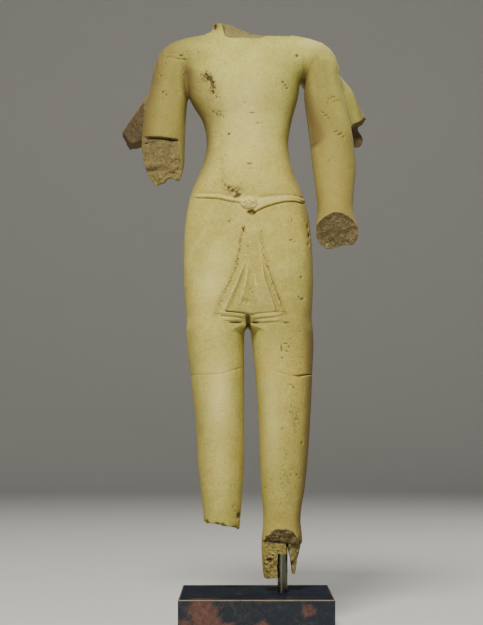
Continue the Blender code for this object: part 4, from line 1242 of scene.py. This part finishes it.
def marble():
    """Polished marble, nearly black, with red patches, pale veins and a painted highlight along the top's
    edges.
    """
    made, n, shader = new_material("polished_marble")
    warp = n.noise(6.0, 4.0, 0.6, shift=2.0)
    bent = n.add("VectorMath", {0: n.place, 1: n.math("MULTIPLY", warp, 0.10)})
    cloud = n.noise(13.0, 6.0, 0.65, place=bent, distortion=0.6)
    fine = n.noise(85.0, 5.0, 0.7, shift=4.0, distortion=0.4)
    ground = n.mix(n.span(cloud, 0.35, 0.65), MARBLE_GREY, MARBLE_GREEN)
    ground = n.over(ground, MARBLE_PALE, n.span(fine, 0.45, 0.70, 0.0, 0.55))
    patch = n.noise(16.0, 5.0, 0.62, shift=MARBLE_SHIFT, distortion=0.8)
    for middle, reach, share in MARBLE_PATCHES:
        far = n.add("VectorMath", {0: n.place, 1: middle}, "Value", operation="DISTANCE")
        patch = n.math("ADD", patch, n.span(far, reach * 0.2, reach, share, 0.0))
    red = n.mix(n.span(fine, 0.35, 0.65), MARBLE_RED, MARBLE_RUST)
    ground = n.over(ground, red, n.span(patch, 0.60, 0.74))
    vein = n.math("ABSOLUTE", n.math("SUBTRACT", n.noise(11.0, 6.0, 0.62, shift=7.0, distortion=1.0), 0.5))
    ground = n.over(ground, MARBLE_VEIN, n.span(vein, 0.0, 0.012, 0.40, 0.0))
    # A painted highlight runs along the edges of the top.
    beside = []
    for axis, half in (("X", plinth_high.x), ("Y", plinth_high.y)):
        away = n.math("ABSOLUTE", n.add("SeparateXYZ", {0: n.place}, axis))
        beside.append(n.math("SUBTRACT", away, half))
    near = n.span(n.math("MAXIMUM", *beside), -0.0034, -0.0014)
    up = n.add("SeparateXYZ", {0: n.place}, "Z")
    above = n.span(up, plinth_high.z - 0.0026, plinth_high.z - 0.0010)
    # Painted highlight along the top's edges.
    ground = n.over(ground, MARBLE_GLINT, near, above, n.span(fine, 0.25, 0.55, 0.55, 0.95))
    # The top is dusty, so that it mirrors the room less than the sides do.
    dust = n.span(up, plinth_high.z - 0.0020, plinth_high.z - 0.0006)
    polish = n.span(fine, 0.3, 0.7, 0.16, 0.26)
    wire(shader, {
        "Base Color": ground,
        "Roughness": n.math("ADD", polish, n.product(dust, 0.28)),
        "Normal": n.bump(fine, 0.0002, 0.12),
        "Specular IOR Level": n.span(dust, 0.0, 1.0, 0.32, 0.01),
    })
    return made


def plain(name, colour, roughness):
    """One matt colour, very faintly clouded."""
    made, n, shader = new_material(name)
    shade = n.mix(n.noise(3.0, 3.0, 0.5), colour, tuple(v * 0.97 for v in colour))
    wire(shader, {"Base Color": shade, "Roughness": roughness})
    return made


# ---------------------------------------------------------------------------------------- the CAD frame

for left_over in list(bpy.data.objects):
    bpy.data.objects.remove(left_over)

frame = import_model()
plinth_low, plinth_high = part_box("plinth")
statue_low, statue_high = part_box("statue")
rod_low, rod_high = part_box("mounting_rod")
axis_x = (plinth_low.x + plinth_high.x) / 2 + FIGURE_SHIFT


def make_statue():
    """The statue's mesh, with where it is broken, stained, rubbed and aged painted on it, and painted shade
    and highlights.
    """
    low = np.array(statue_low) - SEARCH_MARGIN - (axis_x, 0, 0)
    high = np.array(statue_high) + SEARCH_MARGIN - (axis_x, 0, 0)
    points, quads = surface(low, high)
    mesh = thinned(to_mesh("statue_stone", points, quads), MOST_TRIANGLES)
    spots = np.empty(3 * len(mesh.vertices), np.float32)
    mesh.vertices.foreach_get("co", spots)
    spots = spots.reshape(-1, 3).T.astype(float)
    spots = settle(spots, 1, FINEST * SETTLE_SHARE)
    mesh.vertices.foreach_set("co", (spots.T + (axis_x, 0, 0)).astype(np.float32).ravel())
    normals = np.empty(3 * len(mesh.vertices), np.float32)
    mesh.vertex_normals.foreach_get("vector", normals)
    lean = normals[::3].astype(float)
    x, y, z = spots
    lost = step(0.0003, 0.0013, -everywhere(spots, whole=True))
    layers = {
        "broken": lost,
        # Painted shade in pits, grooves, cracks, undercuts and on the stumps.
        "hollow_shade": painted_hollow_shade(x, y, z, lost),
        "stain": staining(x, y, z),
        # Raised parts rubbed paler, with painted highlight on them and in patches.
        "proud": rubbing_and_highlights(x, y, z),
        "pitted": pitting(x, z) * step(0.01, -0.01, y),
        "fresh": freshness(x, y, z),
        # Aged colour, partly painted shade where the light falls off.
        "patina_and_shade": patina_and_shade(x, y, z, lean),
        # Painted shade in the creases, down the flanks and on sides turned away from the light.
        "painted_shade": painted_shade(x, y, z, lean),
    }
    for name, values in layers.items():
        paint(mesh, name, values)
    mesh.shade_smooth()
    mesh.update()
    return placed("carved_statue", mesh)


def painted_hollow_shade(x, y, z, lost):
    """Painted shade: how dark the bottoms of pits, cracks, grooves and undercuts are painted, with the shaded
    faces of the foot's arch and of the rear arms' stumps.
    """
    front = y < 0
    relief = front_relief(x, z) * front + np.minimum(belt_relief(x, y, z), 0)
    hem, _ = across_line(HEM_GROOVES[0], x, z)
    cleft = np.hypot((x - 0.0005) / 0.0055, (z - 0.613) / 0.016) + 0.25 * rough(x, y, z, 0.006, 2, 33.0)
    ledge, _ = along(ELBOW_LEDGE, x)
    # Painted shadow under the elbow's ledge.
    under = hill(z - ledge + 0.0020, 0.0016) * step(-0.137, -0.142, x) * step(-0.006, -0.012, y)
    crack, past = along(ELBOW_CRACK, x)
    band = 0.45 * hill(over_slant(x, z, ELBOW_GROOVE), 0.0036) * step(-0.140, -0.165, x) * (x < -0.12)
    # Painted shade along the foot's ledge under its arch.
    over_ledge = z - foot_ledge(x, rough(x, y, z, *FOOT_GRAIN))
    arch = 0.75 * hill(over_ledge, 0.0022) * step(-0.002, -0.006, y) * step(0.094, 0.078, x) * (x > 0)
    # Painted shade on the rear arms' broken stumps.
    stump_right = 0.72 * (x < -0.212) * (z < 1.09) * (y > 0.03)
    stump_left = 0.55 * (x > 0.205) * (z < 1.05) * (z > 1.0) * (y > 0.05)
    terms = [
        np.where((x > 0.12) & (z > 0.9), 0.45, 0.85) * step(0.0004, 0.0018, marks(x, z) * front),
        0.70 * step(0.0052, 0.0030, knot_hole(x, y, z)) * front,
        0.8 * step(0.3, 0.8, pits(x, y, z, PIT_CELL, PIT_SHARE * pitting(x, z) * front, PIT_SHIFT)),
        0.60 * step(-0.0004, -0.0026, relief),
        0.9 * step(0.004, -0.001, bar(LEG_RECESS, x, y, z)),
        0.75 * hill(hem, 0.0015) * front,
        0.85 * step(1.1, 0.7, cleft) * front,
        under * step(-0.208, -0.196, x),
        0.8 * hill(np.hypot(z - crack, past), 0.0013) * (y < 0.005),
        band * (y < 0.02),
        arch,
        hill(np.hypot((x - 0.0780) / 0.8, (z - 0.1755) / 1.4), 0.0045) * (y < 0.0),
        (stump_right + stump_left) * lost,
    ]
    return np.max(terms, axis=0)


def staining(x, y, z):
    """Where the stone is browned: by the chest's pits, over the belt, up the belly, in the fan, on a shin."""
    front = step(0.02, -0.01, y)
    waist = 0.60 * spot(x, z, -0.026, 0.876, 0.030, 0.012) + 0.40 * spot(x, z, 0.030, 0.866, 0.050, 0.005)
    run = 0.50 * hill(x + 0.050, 0.008) * step(0.87, 0.90, z) * step(1.03, 0.98, z)
    shin = 0.6 * spot(x, z, -0.022, 0.243, 0.012, 0.022)
    chest = 0.55 * pitting(x, z) * step(1.02, 1.05, z)
    left, _ = along(FAN_BORDERS[0], z)
    right, _ = along(FAN_BORDERS[1], z)
    fan = 0.62 * step(left - 0.004, left + 0.008, x) * step(right + 0.004, right - 0.008, x)
    fan = fan + 0.30 * spot(x, z, 0.004, 0.668, 0.018, 0.030)
    fan = fan * step(0.80, 0.76, z) * step(0.630, 0.640, z)
    for path in FAN_BORDERS:
        gap, _ = across_line(path, z, x)
        fan = np.maximum(fan, 0.85 * hill(gap, 0.0075) * step(0.825, 0.76, z))
    return front * np.clip(np.maximum(waist + run + shin + chest, fan), 0, 1)


# Patches of painted highlight on the front, in metres: side, height, half width, half height, and strength.
PAINTED_HIGHLIGHTS = (
    (-0.004, 1.030, 0.055, 0.090, 0.60),
    (-0.074, 0.684, 0.030, 0.034, 0.80),
    (-0.058, 0.735, 0.020, 0.030, 0.40),
    (-0.070, 0.640, 0.034, 0.020, 0.35),
    (-0.056, 0.470, 0.024, 0.072, 1.00),
    (-0.054, 0.340, 0.020, 0.060, 0.30),
    (0.046, 0.430, 0.018, 0.110, 0.55),
    (0.130, 1.178, 0.034, 0.014, 0.85),
    (0.0042, 0.850, 0.015, 0.010, 0.85),
)


def rubbing_and_highlights(x, y, z):
    """Ridges and rolls painted paler than the rest, partly rubbed wear and partly painted highlight, and
    patches of painted highlight.
    """
    relief = front_relief(x, z) * (y < 0) + belt_relief(x, y, z)
    # Raised parts painted paler: rubbed wear with painted highlight.
    terms = [0.60 * step(0.0008, 0.0034, relief)]
    for path in FAN_RIDGES:
        gap, _ = across_line(path, z, x)
        terms.append(0.85 * hill(gap, 0.0017) * step(0.775, 0.700, z) * (z > 0.634))
    # Patches of painted highlight.
    terms += [strength * spot(x, z, *patch) for *patch, strength in PAINTED_HIGHLIGHTS]
    return np.max(terms, axis=0) * (y < 0.02)


def patina_and_shade(x, y, z, lean):
    """The arms, the neck, the lower legs and the left thigh are darker than the trunk's front: aged colour,
    with painted shade where the light falls off on the arms and the lower legs.

    Lean is how far the surface faces to the figure's left, where the upper arms are left paler as painted
    light.
    """
    # The arms darker: partly aged colour, partly painted shade.
    arms = step(0.118, 0.150, np.abs(x)) * step(0.76, 0.80, z) * np.where((x > 0) & (z > 1.14), 0.40, 1.0)
    # Painted light: the upper arms' faces turned to the figure's left stay paler.
    spared = np.where(x > 0, 0.85, 0.30) * step(0.05, 0.80, lean)
    arms = arms * (1 - spared * step(0.97, 1.03, z) * (y < 0.05))
    arms = np.maximum(arms, 0.85 * step(-0.060, -0.130, x) * step(1.10, 1.14, z))
    neck = 0.75 * step(1.192, 1.212, z)
    # The lower legs darker, as painted shade where the light falls off.
    legs = np.where(x < 0, 0.20, 0.58) * step(0.60, 0.25, z)
    thigh = 0.60 * hill(z - 0.600, 0.060) * step(0.02, 0.05, x)
    return np.max([arms, neck, legs, thigh], axis=0)


# How far out from the axis painted shade reaches on the inside of the left arm, at each height.
INNER_ARM = (
    (0.948, 0.1180), (0.962, 0.1340), (0.976, 0.1480), (0.990, 0.1540), (1.020, 0.1440), (1.050, 0.1360),
    (1.100, 0.1260), (1.140, 0.1200),
)

# How far in the painted shade on the trunk's flanks reaches, at each height: on its right side, and on its
# left.
FLANK_RIGHT = (
    (0.88, -0.085), (0.915, -0.055), (0.975, -0.045), (1.035, -0.018), (1.075, -0.028), (1.105, -0.060),
    (1.130, -0.124),
)
FLANK_LEFT = ((0.94, 0.110), (0.995, 0.094), (1.035, 0.091), (1.105, 0.100), (1.140, 0.124), (1.2, 0.2))


def painted_shade(x, y, z, lean):
    """Painted shade in the armpits, down the flanks, inside the left arm, where the legs part, and on sides
    turned away.

    Lean is how far the surface faces to the figure's left.
    """
    arm = np.minimum(column("arm_right", x, y, z), column("arm_left", x, y, z))
    trunk = column("trunk", x, y, z, TRUNK_SQUARENESS)
    crease = np.maximum(np.abs(arm), np.abs(trunk))
    # Painted shade in the crease where the arms meet the trunk.
    armpit = 0.80 * step(0.024, 0.004, crease) * step(1.168, 1.140, z) * step(1.02, 1.05, z)
    # Painted shade on the inside of the left arm.
    edge, _ = along(INNER_ARM, z)
    on_arm = arm < 0.004
    inside = 0.85 * step(edge + 0.012, edge - 0.012, x) * (x > 0.10)
    inside = inside * step(0.944, 0.962, z) * (z < 1.14) * on_arm
    # Painted shade down the flanks, beside the arms.
    right, _ = along(FLANK_RIGHT, z)
    left, _ = along(FLANK_LEFT, z)
    side, _, half, _, _ = at(CURVES["trunk"], z)
    outer = np.maximum(side - half + 0.003, -0.114)
    right = np.maximum(right, outer + 0.002)
    flank = 0.88 * np.clip((right - x) / (right - outer), 0, 1) ** 2
    flank = flank * step(0.84, 0.97, z) * step(1.135, 1.115, z)
    flank = np.maximum(flank, 0.56 * step(left - 0.012, left + 0.020, x) * step(0.95, 1.01, z))
    flank = flank * (arm > 0.003) * step(0.03, 0.0, y) * (np.abs(x) < 0.14)
    # Painted shade under the hem, where the legs part.
    crotch = 0.85 * hill(np.hypot((x - 0.001) / 1.1, (z - 0.614) / 1.5), 0.010) * step(-0.05, -0.06, y)
    beside = on_arm | (np.abs(x) > 0.128) & (z > 0.90)
    # Painted shade on surfaces turned to either side, away from the light.
    sideways = np.select(
        [beside & (x < 0), beside, z > 0.92, z > 0.60, x > 0],
        [0.50 * np.abs(lean), -0.50 * lean, 0.50 * np.abs(lean), 0.60 * lean, 0.90 * lean],
        -0.30 * lean,
    )
    sideways = sideways * step(0.50, 0.98, np.abs(lean))
    # Painted shade on the upper arms' faces turned to the figure's right, and on the rear arms.
    upper_arms = 0.62 * step(0.0, 1.0, -lean) * step(0.122, 0.138, np.abs(x)) * step(0.96, 1.0, z)
    rear = 0.26 * (x > 0.165) * (y > 0.045) + 0.14 * (x < -0.165) * (y > 0.045)
    return np.clip(np.max([armpit, inside, flank, crotch, sideways, upper_arms, rear], axis=0), 0, 1)


def freshness(x, y, z):
    """How dark a break is: the wrist's is fresh, and part of the foot has worn as pale as the skin."""
    old = np.where((z < 0.177) & (x < 0.0765), 0.95, 0.25 * (z < 0.177))
    old = np.where(z > 1.16, 0.35, old)
    old = np.where((x < -0.12) & (y < 0.05) & (z < 1.0), 0.15 + 0.3 * step(0.925, 0.905, z), old)
    old = np.where((z > 0.19) & (z < 0.25) & (x < 0), 0.70, old)
    return 1 - old


carved = make_statue()
carved.data.materials.clear()
carved.data.materials.append(sandstone())
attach(carved, "root")
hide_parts("statue")

for slot in frame["nodes"]["mounting_rod"].material_slots:
    slot.material = rod_steel()


def make_plinth():
    """The block again, with its edges rounded finely enough to catch the light."""
    size, middle = plinth_high - plinth_low, (plinth_high + plinth_low) / 2
    shape = bmesh.new()
    bmesh.ops.create_cube(shape, size=1)
    bmesh.ops.scale(shape, vec=size, verts=shape.verts)
    bmesh.ops.translate(shape, vec=middle, verts=shape.verts)
    bmesh.ops.bevel(shape, geom=shape.edges[:], offset=PLINTH_EDGE, segments=6, profile=0.5, affect="EDGES")
    mesh = bpy.data.meshes.new("plinth_block")
    shape.to_mesh(mesh)
    shape.free()
    block = placed("polished_plinth", mesh)
    shape = bmesh.new()
    radius = (rod_high.x - rod_low.x) / 2 + ROD_GAP
    deep = plinth_high.z - rod_low.z + ROD_GAP
    bmesh.ops.create_cone(shape, cap_ends=True, segments=48, radius1=radius, radius2=radius, depth=2 * deep)
    at_rod = ((rod_low.x + rod_high.x) / 2, (rod_low.y + rod_high.y) / 2, plinth_high.z)
    bmesh.ops.translate(shape, vec=at_rod, verts=shape.verts)
    mesh = bpy.data.meshes.new("rod_hole")
    shape.to_mesh(mesh)
    shape.free()
    hole = placed("rod_hole", mesh)
    bore = block.modifiers.new("bore", "BOOLEAN")
    bore.operation, bore.object, bore.solver = "DIFFERENCE", hole, "EXACT"
    depsgraph = bpy.context.evaluated_depsgraph_get()
    block.data = bpy.data.meshes.new_from_object(block.evaluated_get(depsgraph))
    block.modifiers.clear()
    bpy.data.objects.remove(hole)
    block.data.materials.clear()
    block.data.materials.append(marble())
    return block


base = make_plinth()
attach(base, "root")
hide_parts("plinth")


# --------------------------------------------------------------------------------------------- the scene


# The floor: its half width, how far back its wall stands, the radius of the curve between them, the wall's
# height, and the floor's front edge.
FLOOR_REACH = 9.0
WALL_BACK = 8.2
WALL_BEND = 2.4
WALL_HEIGHT = 9.0
FLOOR_FRONT = -7.0
BEND_STEPS = 16


def sweep():
    """A pale floor that curves up into the wall behind."""
    line = [(FLOOR_FRONT, 0.0), (WALL_BACK - WALL_BEND, 0.0)]
    for i in range(1, BEND_STEPS + 1):
        turn = math.pi / 2 * i / BEND_STEPS
        back = WALL_BACK - WALL_BEND + WALL_BEND * math.sin(turn)
        line.append((back, WALL_BEND - WALL_BEND * math.cos(turn)))
    line.append((WALL_BACK, WALL_HEIGHT))
    points = [(side * FLOOR_REACH, y, z) for side in (-1, 1) for y, z in line]
    count = len(line)
    faces = [(i, i + 1, count + i + 1, count + i) for i in range(count - 1)]
    mesh = bpy.data.meshes.new("studio_floor")
    mesh.from_pydata(points, [], faces)
    mesh.shade_smooth()
    mesh.materials.append(plain("pale_floor", (0.62, 0.62, 0.60), 0.9))
    return placed("studio_floor", mesh)


def softbox(name, place, target, size, watts, colour):
    """A rectangular light at a place, turned to face a target."""
    lamp = bpy.data.lights.new(name, "AREA")
    lamp.shape = "RECTANGLE"
    lamp.size, lamp.size_y = size
    lamp.energy = watts
    lamp.color = colour
    obj = placed(name, lamp)
    obj.location = place
    aim = Vector(target) - Vector(place)
    obj.rotation_euler = aim.to_track_quat("-Z", "Y").to_euler()


sweep()

# Lights: name, place, the point it faces, size, power in watts, and colour.
WARM = (1.0, 0.97, 0.92)
SOFTBOXES = (
    ("key", (-0.60, -3.3, 3.75), (0, 0, 0.75), (1.1, 1.1), 330, (1.0, 0.955, 0.85)),
    ("fill", (2.3, -2.6, 1.5), (0, 0, 0.8), (1.8, 1.8), 4, (1.0, 0.97, 0.93)),
    ("rim_left", (-1.9, 1.3, 1.5), (0, 0, 0.8), (0.5, 1.8), 2.0, WARM),
    ("rim_right", (1.9, 1.3, 1.5), (0, 0, 0.8), (0.5, 1.8), 1.5, WARM),
    ("back_left", (-1.9, 3.0, 3.0), (0, 0, 0.75), (1.2, 1.2), 20, WARM),
    ("back_right", (2.1, 2.8, 3.0), (0, 0, 0.75), (1.0, 1.0), 62, WARM),
    ("strip", (-1.35, -2.3, 0.22), (0.05, 0, 0.13), (0.16, 0.34), 4, (1.0, 0.97, 0.85)),
)
for light in SOFTBOXES:
    softbox(*light)

# The light that comes from all round.
ROOM_COLOUR = (0.90, 0.92, 0.95, 1)
ROOM_STRENGTH = 0.075
world = bpy.data.worlds.new("studio")
world.use_nodes = True
background = world.node_tree.nodes["Background"]
background.inputs["Color"].default_value = ROOM_COLOUR
background.inputs["Strength"].default_value = ROOM_STRENGTH
bpy.context.scene.world = world

# The camera stands low in front and looks up a little, as far off as keeps the limbs' proportions.
CAMERA_PLACE = (-0.0287, -3.41, 0.441)
CAMERA_TILT = 3.273
CAMERA_LENS = 98.2
camera = bpy.data.cameras.new("camera")
camera.lens = CAMERA_LENS
camera.sensor_width = 36.0
view = placed("camera", camera)
view.location = CAMERA_PLACE
view.rotation_euler = (math.radians(90 + CAMERA_TILT), 0, 0)
bpy.context.scene.camera = view
